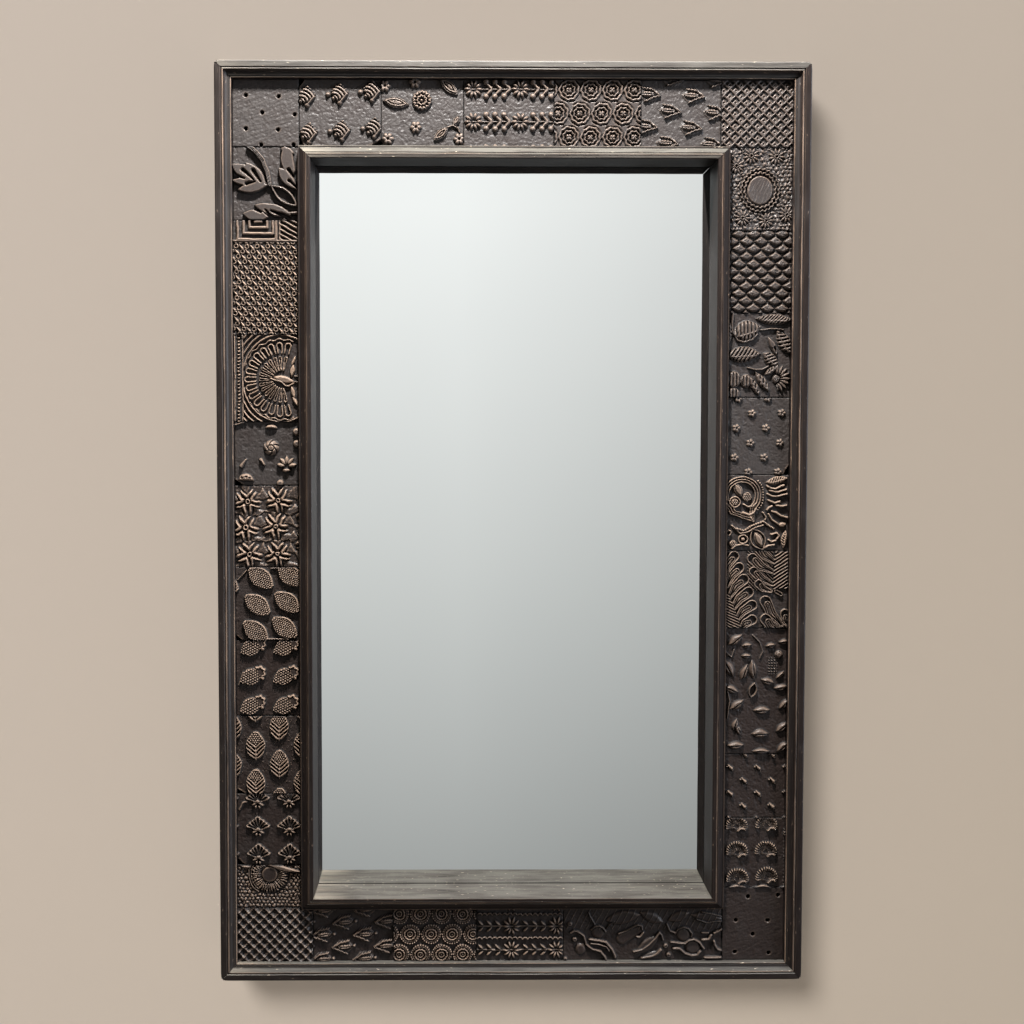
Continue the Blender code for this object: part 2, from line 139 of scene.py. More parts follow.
# Screws round the back board: millimetres, the crown's height as a share of the radius, counts,
# and the angle from which edges are sharp, in degrees.
SCREW_INSET = 11.0
SCREW_RADIUS = 3.2
SCREW_CROWN = 0.26
SCREW_SLOT = 0.8
SCREWS_ACROSS = 4
SCREWS_UP = 6
SCREW_SEGMENTS = 24
SCREW_RINGS = 14
SCREW_SEED = 4
SCREW_SHARP_FROM = 32

# Outer moulding section, in millimetres.
BAND_WIDTH = 7.0
BAND_ROUND = 1.4
GROOVE_WIDTH = 1.0
GROOVE_DEPTH = 1.5
BEAD_WIDTH = 1.8
COVE_RADIUS = 5.0
COVE_STEP = 0.8

# Inner moulding section, in millimetres.
SHELF_FILLET = 2.0
SHELF_DROP = 5.5
SHELF_WIDTH = 6.2
SHELF_RISE = 1.3
STRIP_GROOVE = 0.9
STRIP_ROUND = 0.9
INNER_WIDTH = 14.0

# Both mouldings: millimetres, the angle from which edges are sharp, in degrees, and the rear edge's
# painted shade, which darkens it fully as the shadow in the gap behind.
SECTION_STEP = 0.6
SIDE_STEP = 8.0
BAR_STEP = 4.0
MITRE_GAP = 0.2
TIP_ROUND = 6.0
WELD = 0.01
SHARP_FROM = 38
REAR_CHAMFER = 1.3
REAR_PAINTED_SHADE = -0.16

# Stretches of each section, in millimetres from its outer side, whose arrises are rubbed, and
# how much.
OUTER_RUBBED = {
    "top": ((8.0, 9.9, 0.3), (15.4, 17.4, 0.3)),
    "bottom": ((8.0, 9.9, 1.0), (15.4, 17.4, 1.0)),
    "left": ((8.0, 9.9, 1.0), (15.4, 17.4, 0.45)),
    "right": ((8.0, 9.9, 0.8), (15.4, 17.4, 0.45)),
}
INNER_RUBBED = {
    "top": ((8.0, 9.3, 0.5),),
    "bottom": ((8.0, 9.3, 0.4), (12.8, 14.1, 1.0)),
    "left": ((8.0, 9.3, 0.3),),
    "right": ((8.0, 9.3, 0.4),),
}
ELSEWHERE_RUBBED = 0.12

# How dusty each bar is.
OUTER_DUST = {"top": 0.62, "bottom": 0.05, "left": 0.05, "right": 0.0}
INNER_DUST = {"top": 0.43, "bottom": 0.0, "left": 0.0, "right": 0.0}


class Wire:
    """One socket of a node tree. Arithmetic between wires and numbers adds Math nodes."""

    def __init__(self, tree, socket=None):
        self.tree = tree
        self.socket = socket

    def node(self, kind, settings=None, sockets=None):
        """A new node: its settings first, then the values or links of its sockets."""
        made = self.tree.nodes.new(kind)
        for name, value in (settings or {}).items():
            if name == "stops":
                set_stops(made.color_ramp, value)
            else:
                setattr(made, name, value)
        for name, value in (sockets or {}).items():
            target = made.inputs[name] if isinstance(name, int) else shown(made.inputs, name)
            if isinstance(value, Wire):
                self.tree.links.new(value.socket, target)
            else:
                target.default_value = value
        outputs = [socket for socket in made.outputs if socket.enabled]
        return Wire(self.tree, outputs[0] if outputs else None)

    def out(self, name):
        return Wire(self.tree, shown(self.socket.node.outputs, name))

    def math(self, operation, *values):
        sockets = dict(enumerate(values or (self,)))
        return self.node("ShaderNodeMath", {"operation": operation}, sockets)

    def vector(self, operation, *values):
        sockets = dict(enumerate(values))
        return self.node("ShaderNodeVectorMath", {"operation": operation}, sockets)

    def __add__(self, other):
        return self.math("ADD", self, other)

    __radd__ = __add__

    def __sub__(self, other):
        return self.math("SUBTRACT", self, other)

    def __rsub__(self, other):
        return self.math("SUBTRACT", other, self)

    def __mul__(self, other):
        return self.math("MULTIPLY", self, other)

    __rmul__ = __mul__

    def __truediv__(self, other):
        return self.math("DIVIDE", self, other)

    def __rtruediv__(self, other):
        return self.math("DIVIDE", other, self)

    def __neg__(self):
        return self.math("MULTIPLY", self, -1)

    def __abs__(self):
        return self.math("ABSOLUTE", self)


def shown(sockets, name):
    return next(socket for socket in sockets if socket.name == name and socket.enabled)


def set_stops(ramp, stops):
    while len(ramp.elements) < len(stops):
        ramp.elements.new(1.0)
    for element, (place, colour) in zip(ramp.elements, stops):
        element.position = place
        element.color = (*colour, 1.0)


# Words of the carving. A place is a vector wire, and a distance or height is a number wire. The
# sizes of a shape are plain numbers.


def axes(place):
    """The three numbers of a vector."""
    split = place.node("ShaderNodeSeparateXYZ", None, {0: place})
    return split, split.out("Y"), split.out("Z")


def parts(place):
    return axes(place)[:2]


def joined(x=0.0, y=0.0, z=0.0):
    wire = next(value for value in (x, y, z) if isinstance(value, Wire))
    return wire.node("ShaderNodeCombineXYZ", None, {0: x, 1: y, 2: z})


def scaled(vector, amount):
    wire = vector if isinstance(vector, Wire) else amount
    return wire.node("ShaderNodeVectorMath", {"operation": "SCALE"}, {0: vector, "Scale": amount})


def shift(place, x, y):
    return place.vector("SUBTRACT", place, (x, y, 0))


def turned(place, angle):
    sockets = {"Vector": place, "Angle": -radians(angle)}
    return place.node("ShaderNodeVectorRotate", {"rotation_type": "Z_AXIS"}, sockets)


def placed(place, x, y, angle):
    return turned(shift(place, x, y), angle)


def stretched(place, x, y):
    return place.vector("MULTIPLY", place, (x, y, 1))


def far(place):
    return place.vector("LENGTH", place)


def bearing(place):
    x, y = parts(place)
    return x.math("ARCTAN2", y, x)


def clamp(value, low=0.0, high=1.0):
    return value.node("ShaderNodeClamp", None, {"Value": value, "Min": low, "Max": high})


def wrap(value, span):
    return value.math("WRAP", value, span / 2, -span / 2)


def wave(value, pitch):
    return (value * (2 * pi / pitch)).math("SINE")


def ripple(value, count):
    return (value * count).math("COSINE")


def higher(first, *others):
    for other in others:
        first = first.math("MAXIMUM", first, other)
    return first


def lower(first, *others):
    for other in others:
        first = first.math("MINIMUM", first, other)
    return first


def over(value, bound):
    return value.math("GREATER_THAN", value, bound)


def under(value, bound):
    return value.math("LESS_THAN", value, bound)


def disc(place, radius):
    return radius - far(place)


def oval(place, across, up):
    return (1 - far(stretched(place, 1 / across, 1 / up))) * min(across, up)


def ring(place, radius, half):
    return half - abs(far(place) - radius)


def lens(place, length, width):
    x, y = parts(stretched(place, 1 / length, 1 / width))
    return (1 - x * x - abs(y)) * width


def bar(place, start, end, half, tip=None):
    """A round-ended bar from start to end, half as thick as half, tapering to tip."""
    run_x, run_y = end[0] - start[0], end[1] - start[1]
    length = hypot(run_x, run_y)
    x, y = parts(placed(place, *start, degrees(atan2(run_y, run_x))))
    run = clamp(x, 0.0, length)
    thick = half if tip is None else half - run * ((half - tip) / length)
    return thick - far(joined(x - run, y))


def line(place, points, half):
    return higher(*[bar(place, start, end, half) for start, end in zip(points, points[1:])])


def spokes(place, count, start=0.0):
    """Folds a place into one of count equal slices round the middle, lying along +X."""
    angle = wrap(bearing(place) - radians(start), 2 * pi / count)
    reach = far(place)
    return joined(reach * angle.math("COSINE"), reach * angle.math("SINE"))


def lattice(place, right, up, start=(0.0, 0.0)):
    """Folds a place into one cell of a grid with these two steps and one middle at start."""
    area = right[0] * up[1] - right[1] * up[0]
    here = shift(place, *start)
    columns = here.vector("DOT_PRODUCT", here, (up[1] / area, -up[0] / area, 0))
    rows = here.vector("DOT_PRODUCT", here, (-right[1] / area, right[0] / area, 0))
    along = scaled((*right, 0), wrap(columns, 1))
    above = scaled((*up, 0), wrap(rows, 1))
    return here.vector("ADD", along, above)


def nearest(place, spots):
    """The place seen from whichever of the spots is nearest."""
    best = shift(place, *spots[0])
    gap = far(best)
    for spot in spots[1:]:
        other = shift(place, *spot)
        reach = far(other)
        best = mixed(best, other, under(reach, gap), "VECTOR")
        gap = lower(gap, reach)
    return best


def mixed(first, second, share, kind="RGBA"):
    sockets = {"Factor": share, "A": first, "B": second}
    return share.node("ShaderNodeMix", {"data_type": kind}, sockets)


def swell(inside, height, shoulder):
    """Height over an outline: it rises over the shoulder and then stays level."""
    climb = clamp(inside * (1 / shoulder))
    return climb * (2 - climb) * height


def stripe(value, half, height, shoulder):
    """Height over the stripe where a value is within half of nought."""
    return swell(half - abs(value), height, shoulder)


def noise(place, scale, detail=2.0, roughness=0.5):
    sockets = {"Vector": place, "Scale": scale, "Detail": detail, "Roughness": roughness}
    return place.node("ShaderNodeTexNoise", None, sockets)


def pebbles(place, pitch, height):
    cell = lattice(place, (pitch, 0), (pitch / 2, pitch * 0.87))
    return swell(disc(cell, pitch * 0.52), height, pitch * 0.45)


def drifting(place, scale, reach):
    """The place carried off a little by slow noise, so that a regular pattern looks hand cut."""
    return place.vector("ADD", place, scaled(noise(place, scale, 2.0).out("Color"), reach))


def border(inside, width):
    """The strip along the edge of an outline."""
    return lower(inside, width - inside)


def hollowed(inside, at, height):
    """A narrow groove that follows an outline, at this distance inside it."""
    return stripe(inside - at, 0.6, height, 0.5)


# Several of one shape at once: each row holds the values of one.


def discs(place, rows):
    return higher(*[disc(shift(place, x, y), radius) for x, y, radius in rows])


def lenses(place, rows):
    """Rows of x, y, turn, length and width."""
    return higher(*[lens(placed(place, x, y, turn), *size) for x, y, turn, *size in rows])


def bars(place, rows):
    """Rows of start, end, half and, if it tapers, tip."""
    return higher(*[bar(place, *row) for row in rows])


def lines(place, rows):
    """Rows of points and half."""
    return higher(*[line(place, *row) for row in rows])


# Motifs.


def daisy(place, count, reach, half, height, eye):
    petal = oval(shift(spokes(place, count), reach * 0.6, 0), reach * 0.42, half)
    return swell(petal, height, half * 0.9) - swell(disc(place, eye), height, 1.0)


def flower(place, reach, count, height=4.0):
    """Round petals parted by narrow cuts, with a sunk eye."""
    edge = ripple(bearing(place), count)
    body = swell(reach * (0.92 + 0.08 * edge) - far(place), height, reach * 0.4)
    cuts = clamp(-edge * 4 - 2.9) * clamp(far(place) / reach * 1.4 - 0.2) * (height * 0.7)
    return higher(body - cuts - swell(disc(place, reach * 0.24), height * 0.6, 0.8), 0)


def scalloped_ring(place, radius, half, count, depth):
    return half - abs(far(place) + ripple(bearing(place), count) * depth - radius)


def rosette(place, reach, count):
    """A ragged double ring round a button."""
    outer = swell(scalloped_ring(place, reach * 0.80, reach * 0.18, count, reach * 0.07), 4.6, 1.3)
    inner = swell(scalloped_ring(place, reach * 0.42, reach * 0.13, count - 5, reach * 0.05), 4.6, 1.0)
    nicks = clamp(-ripple(bearing(place), count) * 2 - 1.2) * over(far(place), reach * 0.64) * 2.6
    return higher(outer - nicks, inner, swell(disc(place, reach * 0.17), 4.4, 1.2))


def veined_leaf(place, length, width, height=4.2):
    inside = lens(place, length, width)
    return higher(swell(inside, height, 0.9) - clamp(wave(inside - 0.7, 2.5) * 1.5) * 2.2, 0)


def ribbed_leaf(place, length, width, pitch=3.8, slant=0.8, height=5.0):
    """A thick rim round bold slanting ribs, with a plain vein below the middle."""
    x, y = parts(place)
    inside = lens(place, length, width)
    ribs = clamp(wave(x - y * slant, pitch) * 2.4 - 0.3)
    rim = clamp(1.9 - inside) * over(inside, 0)
    vein = clamp(1.5 - abs(y + width * 0.25))
    body = swell(inside, height, width * 0.45)
    return higher(body - ribs * (1 - rim) * (1 - vein) * 4.8, 0)


def grooved_leaf(place, length, width, height=5.0):
    """A smooth pod of two lobes with a groove between them."""
    inside = lens(place, length, width)
    groove = stripe(parts(place)[1] + width * 0.22, 0.8, 2.8, 0.8) * over(inside, 0.8)
    return higher(swell(inside, height, width * 0.75) - groove, 0)


def kite(place):
    """A banded, scalloped square over an arm, with three berries."""
    x, y = parts(placed(place, 0.4, 1.6, 42))
    scallop_x = abs(wave(y, 7.0)) * over(x, 0) * 1.1
    scallop_y = abs(wave(x, 7.0)) * over(y, 0) * 1.1
    body = swell(lower(7.6 + scallop_x - abs(x), 6.8 + scallop_y - abs(y)), 5.2, 1.6)
    bands = clamp(wave(far(shift(place, -5.0, -5.5)), 3.7) * 1.7)
    arm = swell(bar(place, (8.6, 0.4), (1.2, -8.6), 1.5), 5.4, 1.4)
    berries = discs(place, [(-11.6, -0.4, 3.1), (1.0, -9.2, 3.1), (-5.6, -4.6, 2.5)])
    return higher(body - bands * 3.2, arm, swell(berries, 5.0, 2.6))


def sprig_block(place):
    return kite(lattice(place, (35.1, 2.8), (-2.2, 39.0), (-1.3, 19.6)))


def posy_block(place):
    small = [(-7.0, -15.6), (-37.2, -27.5), (39.6, -27.5), (-40.5, 28.6), (-8.0, 33.0)]
    return higher(
        veined_leaf(placed(place, -28.6, 11.3, -8), 14.5, 6.0),
        rosette(shift(place, -0.5, 13.5), 10.8, 14),
        flower(nearest(place, small), 7.0, 6, 4.4),
        veined_leaf(placed(place, 28.5, 28.5, -42), 13.0, 5.6),
        veined_leaf(placed(place, 20.0, -22.0, 43), 10.5, 5.0),
        swell(line(place, [(27, -15), (33, -13), (38, -16), (40, -21)], 1.0), 4, 1.0),
        veined_leaf(placed(place, 36.5, -8.0, 62), 7.0, 3.6),
    )


def garland_block(place, pitch, rows, start, reach, petal_half, leaf_half):
    petals = lattice(place, (pitch, 0), (0, rows), start)
    head = daisy(petals, 10, reach, petal_half, 4.8, 1.8)
    x, y = parts(lattice(place, (pitch, 0), (0, rows), (start[0] + pitch / 2, start[1])))
    leaf_pitch = (pitch - 2 * reach) / 3.1
    leaf = joined(wrap(x, leaf_pitch), abs(y))
    comma = swell(bar(leaf, (3.8, 0.6), (-1.0, 5.6), leaf_half * 0.95, leaf_half * 0.6), 4.2, 1.5)
    berry_ball = swell(disc(shift(leaf, -2.0, 7.6), leaf_half * 1.45), 4.8, 2.4)
    between = under(abs(x), leaf_pitch * 1.5)
    stem = stripe(y, 0.8, 2.6, 0.8)
    return higher(head, higher(comma, berry_ball) * between, stem)


def top_garlands(place):
    return garland_block(place, 50.7, 34.6, (-38.3, 25.4), 10.2, 2.1, 2.4)


def bottom_garlands(place):
    """Twigs of narrow leaves between thin-petalled flowers, with a row of small arches."""
    pitch, rows, start = 50.0, 26.7, (-9.3, 8.5)
    head = daisy(lattice(place, (pitch, 0), (0, rows), start), 10, 10.4, 1.5, 4.4, 1.2)
    x, y = parts(lattice(place, (pitch, 0), (0, rows), (start[0] + pitch / 2, start[1])))
    leaf = joined(wrap(x, 9.6), abs(y))
    blades = swell(lens(placed(leaf, 0.4, 3.6, -40), 4.4, 1.4), 4.2, 1.0) * under(abs(x), 14.4)
    stem = stripe(y, 0.7, 2.6, 0.7)
    arches = lattice(place, (5.6, 0), (0, rows), (0.0, 20.6))
    scallops = swell(ring(arches, 2.4, 0.8), 3.8, 0.8) * over(parts(arches)[1], 0)
    return higher(head, blades, stem, scallops)


def top_roundels(place):
    cell = lattice(place, (23.5, 0), (11.75, 25.2), (4.2, -0.3))
    rim = swell(scalloped_ring(cell, 10.2, 1.7, 9, 0.5), 4.2, 1.2)
    second = swell(scalloped_ring(cell, 6.2, 1.3, 8, 0.5), 4.4, 1.0)
    cross = clamp(ripple(bearing(cell), 4) * 3 - 1.6) * 3.0
    heart = swell(disc(cell, 3.7), 4.2, 1.2) - cross * under(far(cell), 3.7)
    ground = swell(far(cell) - 12.2, 2.2, 1.5)
    return higher(rim, second, heart, ground)


def bottom_roundels(place):
    cell = lattice(place, (23.4, 0), (11.7, 22.8), (-4.3, 0.1))
    beads = swell(disc(shift(spokes(cell, 24), 10.5, 0), 1.3), 4.4, 1.1)
    rim = swell(ring(cell, 8.6, 0.7), 3.4, 0.7)
    middle = swell(scalloped_ring(cell, 6.0, 1.0, 12, 0.3), 4.2, 0.9)
    heart = swell(ring(cell, 2.8, 0.8), 4.0, 0.8)
    return higher(beads, rim, middle, heart, swell(disc(cell, 1.0), 4.0, 0.9))


def leaf_sprig(place):
    """A closed leaf with sawn edges, two bands and a veined middle."""
    x, y = parts(place)
    saw = wave(x + abs(y), 2.6) * 0.5
    above = line(place, [(-6.2, 6.9), (3.6, 4.9), (11.8, -1.2)], 1.3)
    below = line(place, [(-4.2, -7.6), (3.8, -4.0), (11.8, -1.8)], 1.2)
    middle = lens(placed(place, -1.6, 0.2, -5), 9.8, 3.0)
    vein = clamp(0.8 - abs(y + x * 0.08)) * over(middle, 0)
    filled = swell(lens(placed(place, 0.6, -0.4, -4), 12.5, 8.0) + saw, 1.2, 1.0)
    bands = swell(higher(above, below) + saw, 4.4, 1.2)
    return higher(filled, bands, swell(middle + saw, 4.6, 1.6) - vein * 2.4)


def top_leaf_sprigs(place):
    return leaf_sprig(lattice(place, (22.6, -17.8), (-25.3, -16.4), (12.3, 19.4)))


def bottom_leaf_sprigs(place):
    cell = lattice(place, (22.8, -13.4), (-23.6, -14.2), (-10.0, 13.6))
    x, y = parts(cell)
    back = joined(-x, y)
    ball = swell(disc(shift(back, -12.4, 1.0), 2.0), 4.2, 1.6)
    return higher(leaf_sprig(back), ball)


def diamond(place, across, up):
    """Shares of a slanting grid cell, from -0.5 to 0.5, rising to the right and to the left."""
    x, y = parts(stretched(place, 1 / across, 1 / up))
    return wrap(x + y, 1), wrap(y - x, 1)


def lattice_block(place):
    """Diamonds between thin ridges, each with a sunk chevron over a drilled point."""
    right, left = diamond(shift(place, 0.5, 1.0), 12.3, 12.6)
    rim = higher(abs(right), abs(left))
    ridge = swell((rim - 0.43) * 8.8, 0.25, 0.4)
    chevron = lower(0.42 - rim, higher(right, left) - 0.10) * 8.8
    eye = disc(joined(right + 0.16, left + 0.16), 0.105) * 12
    return 3.5 + ridge - swell(chevron, 2.3, 0.4) - swell(eye, 2.8, 0.5)


def scallop_block(place):
    """Rounded pockets between ridges that stand highest just over each crossing."""
    right, left = diamond(shift(place, -1.0, 2.0), 11.4, 11.1)
    from_above = (0.44 - higher(right, left)) * 8.0
    from_below = (0.44 + lower(right, left)) * 8.0
    pocket = lower(swell(from_above, 2.4, 0.8), swell(from_below, 2.4, 3.0))
    along = mixed(left, right, under(abs(right), abs(left)), "FLOAT")
    crumbs = (noise(place, 0.8, 2.0) - 0.5) * 1.6
    return 3.4 - pocket - clamp((along + 0.42) * 3.4) * 2.0 + crumbs


def vine_block(place):
    """A stem that sends off deeply cut leaves and one open loop."""
    stem = line(place, [(-18, 40), (-9, 33), (-2.2, 23.5), (2.2, 12.5), (4.8, -1)], 2.6)
    loop = lens(placed(place, 20.0, -13.2, -38), 18.5, 7.4)
    left = [
        (-10.5, 10.5, 132, 16.0, 6.4),
        (-19.5, 10.5, 150, 20.0, 8.4),
        (-17.5, 1.5, 176, 20.0, 5.2),
        (-13.5, -4.4, 8, 17.5, 5.6),
    ]
    left_cuts = [
        ((-24.0, 14.5), (-12.5, 3.6), 1.5, 0.3),
        ((-13.0, 14.0), (-5.0, 1.5), 1.7, 0.4),
        ((-34.0, 9.5), (-22.5, 5.0), 1.6, 0.4),
        ((-20.5, -0.4), (-11.0, 1.6), 1.3, 0.3),
    ]
    right = [
        (25.0, 23.0, 104, 18.0, 8.6),
        (23.6, 5.2, 130, 15.5, 6.4),
        (24.0, 33.5, 150, 9.0, 5.0),
    ]
    right_cuts = [
        ((25.0, 14.5), (34.0, 3.0), 1.3, 0.6),
        ((26.0, 3.0), (34.0, -5.0), 1.2, 0.5),
        ((31.5, 30.0), (34.5, 12.0), 1.4),
    ]
    bottom = [(7.6, -28.2, -14, 21.0, 6.8), (-11.0, -34.5, -6, 14.5, 6.6)]
    bottom_bars = [((24.0, -32.0), (35.0, -31.0), 1.7), ((26.5, -33.5), (19.0, -40.0), 1.7)]
    bottom_cuts = [
        ((-11.5, -27.0), (-5.0, -31.5), 1.6, 0.4),
        ((0.0, -28.5), (9.5, -39.0), 0.5, 2.0),
        ((6.0, -29.5), (24.0, -36.5), 0.7, 2.2),
    ]
    leaves = higher(
        lower(lenses(place, left), -bars(place, left_cuts)),
        lower(lenses(place, right), -bars(place, right_cuts)),
        lower(higher(lenses(place, bottom), bars(place, bottom_bars)), -bars(place, bottom_cuts)),
    )
    return higher(
        swell(stem, 7.0, 1.2) - hollowed(stem, 1.9, 1.6),
        swell(border(loop, 2.9), 7.0, 1.0),
        swell(leaves, 7.0, 1.1),
    )


def meander_block(place):
    x, y = parts(place)
    from_middle = higher(abs(x + 7.9) - 3.2, abs(y - 10.3))
    nest = stripe(wrap(from_middle, 6.4), 1.7, 4.2, 0.9) * under(x, 10.9)
    post = stripe(x - 11.4, 1.9, 4.2, 0.9)
    edge = stripe(y + 10.6, 1.5, 4.2, 0.9)
    hatch = stripe(wrap(y + x * 0.55, 5.4), 1.4, 4.2, 0.9) * over(x, 14.5)
    frame_line = stripe(x - 15.4, 1.0, 4.2, 0.8)
    return higher(nest, post, edge, hatch, frame_line)


def pinwheel_block(place):
    """Curls in slanting rows, each with a thick tail that sweeps up to its left."""
    right, up = (11.4, -0.2), (-6.9, 5.68)
    curl = lattice(place, right, up, (0.5, 0.4))
    tails = lattice(place, right, up, (-1.5, 6.1))
    tail = bar(tails, (1.9, -2.5), (-1.9, 2.5), 1.7, 0.6)
    return higher(swell(ring(curl, 2.05, 0.8), 3.4, 0.8), swell(tail, 3.6, 1.2))


def peacock_block(place):
    """A fan of long loops round a fan of rays, with the bird's body over its hub."""
    x, y = parts(place)
    fan = shift(place, 16.5, -1.4)
    reach = far(fan)
    oval_reach = far(stretched(shift(place, 15.5, 0.0), 1.0, 0.885))
    spread = clamp((108 - abs(abs(bearing(fan)) * (180 / pi) - 180)) * 0.4)
    feather = spokes(fan, 25, 180)
    hairpin = bar(feather, (28.0, 0), (37.0, 0), 3.0, 3.8)
    loops = stripe(hairpin - 0.9, 0.9, 3.8, 0.8) * over(reach, 28.2)
    quill = bar(feather, (10.0, 0), (23.4, 0), 0.95, 2.0)
    rays = stripe(quill - 0.6, 0.6, 3.6, 0.6)
    scallops = reach + ripple(bearing(fan), 25) * 0.9
    rim = stripe(scallops - 43.4, 0.75, 3.8, 0.7) * under(oval_reach, 40.8)
    clear = under(lens(placed(place, 18.0, -2.4, -13), 14.5, 5.2), 0)
    feathers = higher(loops, rays, rim) * spread * clear
    corners = stripe(wrap(oval_reach - 41.8, 4.6), 0.9, 3.8, 0.8) * over(oval_reach, 40.8)
    body = swell(lens(placed(place, 18.6, -1.4, -13), 12.0, 4.0), 3.2, 1.8)
    outline = [(5, -0.2), (9.3, -2.2), (16.3, -4.1), (20.1, -7.6), (24, -8.4), (28.6, -5.7)]
    herbs = [
        (28.0, 8.0, 82, 7.5, 2.8),
        (29.0, 18.5, 70, 6.0, 1.8),
        (28.5, -15.0, 104, 7.5, 2.4),
        (31.0, -25.0, 120, 6.5, 2.0),
    ]
    stalks = [((30.2, 2.1), (34.8, 2.1), 0.8), ((30.2, -4.1), (34.8, -4.1), 0.8)]
    plants = swell(higher(lenses(place, herbs), bars(place, stalks)), 3.8, 1.1)
    bird = higher(body, swell(line(place, outline, 1.1), 4.0, 1.0), plants)
    picture = higher(feathers, corners, bird) * over(x, -24.8)
    beads = swell(lower(0.95 - abs(wrap(y, 3.6)), 1.3 - abs(x + 30.2)), 3.6, 0.7)
    posts = stripe(abs(x + 30.2) - 4.3, 0.75, 3.8, 0.7)
    return higher(picture, beads, posts)


def rose(place, reach):
    """A round bloom cut by curved slits."""
    swirl = ripple(bearing(place) + far(place) * 0.16, 6)
    slits = clamp(-swirl * 3 - 1.5) * clamp(far(place) / reach * 2 - 0.5) * 2.8
    body = swell(disc(place, reach), 5.6, reach * 0.6)
    return higher(body - slits - swell(ring(place, reach * 0.36, 0.7), 2.0, 0.7), 0)


def sparse_block(place):
    cup = shift(place, 21.5, -13.4)
    lobes = lens(shift(spokes(cup, 9, 90), 6.2, 0), 5.2, 2.7)
    half = shift(place, -23.4, -30.0)
    dome = lower(oval(half, 9.0, 8.8), parts(half)[1])
    pits = swell(disc(nearest(half, [(-4.4, 3.6), (0.2, 4.8), (4.6, 3.4)]), 1.3), 3.4, 0.8)
    knobs = nearest(place, [(32.0, 23.9), (32.6, 11.0), (14.0, -32.6)])
    return higher(
        rose(shift(place, 4.5, 6.2), 9.0),
        swell(lobes, 6.0, 1.8) * over(parts(cup)[1], -1.0),
        swell(oval(shift(cup, -0.5, -4.6), 5.2, 2.4), 5.6, 1.8),
        swell(disc(cup, 5.0), 3.2, 2.0),
        swell(dome, 5.4, 2.6) - pits,
        swell(lower(oval(shift(place, 5.0, 27.0), 7.0, 5.0), parts(place)[1] - 27.0), 5.5, 2.0),
        swell(disc(knobs, 4.4), 5.0, 2.4),
        swell(bar(place, (-28.0, -14.0), (-23.4, -6.8), 2.4, 1.2), 5.0, 1.6),
        swell(bar(place, (-6.8, -6.6), (-3.4, -12.0), 2.2, 1.5), 5.0, 1.6),
        swell(bar(place, (-35.0, 31.2), (-25.0, 34.0), 1.0), 4.0, 0.8),
    )


def star_block(place):
    """Stars of five dark grooves, with a thick bent ridge between each two of them."""
    drift = noise(place, 0.08, 2.0).out("Color")
    drift = drift.vector("SUBTRACT", drift, (0.5, 0.5, 0.5))
    loose = place.vector("ADD", place, scaled(drift, 6.0))
    stars = [(-22, 26.8), (12, 28.6), (-24.3, -2), (8.5, -0.2), (-20.3, -31.4), (11, -30.8)]
    beyond = [(45, 14), (44, -16), (-56, 12)]
    here = nearest(loose, stars + beyond)
    x, y = parts(spokes(here, 5, 22))
    reach = far(here)
    groove = x * 0.588 - abs(y) * 0.809
    ridge = lower(groove - 0.8, 6.4 - reach * 0.16 - groove, reach - 3.4)
    ridges = swell(ridge, 5.2, 2.2) * clamp((15.5 - reach) * 0.25)
    flesh = swell(groove - 4.6, 1.6, 2.6) + noise(place, 0.5, 2.0) * 1.4 - 0.6
    eye = swell(ring(here, 2.1, 1.0), 5.0, 0.9)
    return higher(ridges, flesh * over(reach, 6.0), eye)


def pod(place):
    x, y = parts(place)
    inside = lower(lens(place, 18.5, 10.8), 16.6 - abs(x))
    rim = swell(border(inside, 1.9) * over(y, -2.0), 5.2, 0.9)
    grains = pebbles(turned(place, 20), 2.4, 2.3)
    body = swell(inside, 2.8, 1.6) + grains * over(inside, 1.0)
    return higher(rim, body)


def pod_block(place):
    pods = [(-7.9, 28.0), (24.0, 31.0), (-11.6, -1.2), (20.8, 1.6), (-14, -30.2), (18.0, -26.4)]
    beyond = [(-46, 24), (-50, -8)]
    stems = [((3, 38.6), (16, 39.4), 0.8), ((-24, 36), (-33, 26), 0.7), ((0, -39.0), (22, -38.6), 0.9)]
    stalks = swell(bars(place, stems), 3.6, 0.7)
    return higher(pod(turned(nearest(place, pods + beyond), -37)), stalks)


def thistle(place):
    inside = lower(lens(shift(place, -2.0, 0), 13.8, 9.8), 8.5 - parts(place)[0])
    grains = pebbles(place, 2.9, 2.4) * over(inside, 0.6)
    cap = shift(place, 8.4, 0.4)
    cap_x = parts(cap)[0]
    curl = 7.4 - far(cap) + ripple(bearing(cap), 7) * 0.6
    brim = swell(lower(curl, 3.4 - curl, cap_x + 2.4), 5.6, 1.5)
    fill = swell(disc(cap, 5.2), 4.4, 1.0) * over(cap_x, -2.0)
    knot = swell(disc(shift(place, 8.6, -7.0), 2.4), 5.6, 1.6)
    return higher(swell(inside, 2.6, 1.5) + grains, brim, fill, knot)


def thistle_block(place):
    cell = lattice(place, (36.0, 0.3), (0.4, 32.4), (-17.2, 2.4))
    stalk = swell(bar(place, (-33, -8), (-28, 6), 0.9), 3.0, 0.8)
    return higher(thistle(turned(cell, 26)), stalk)


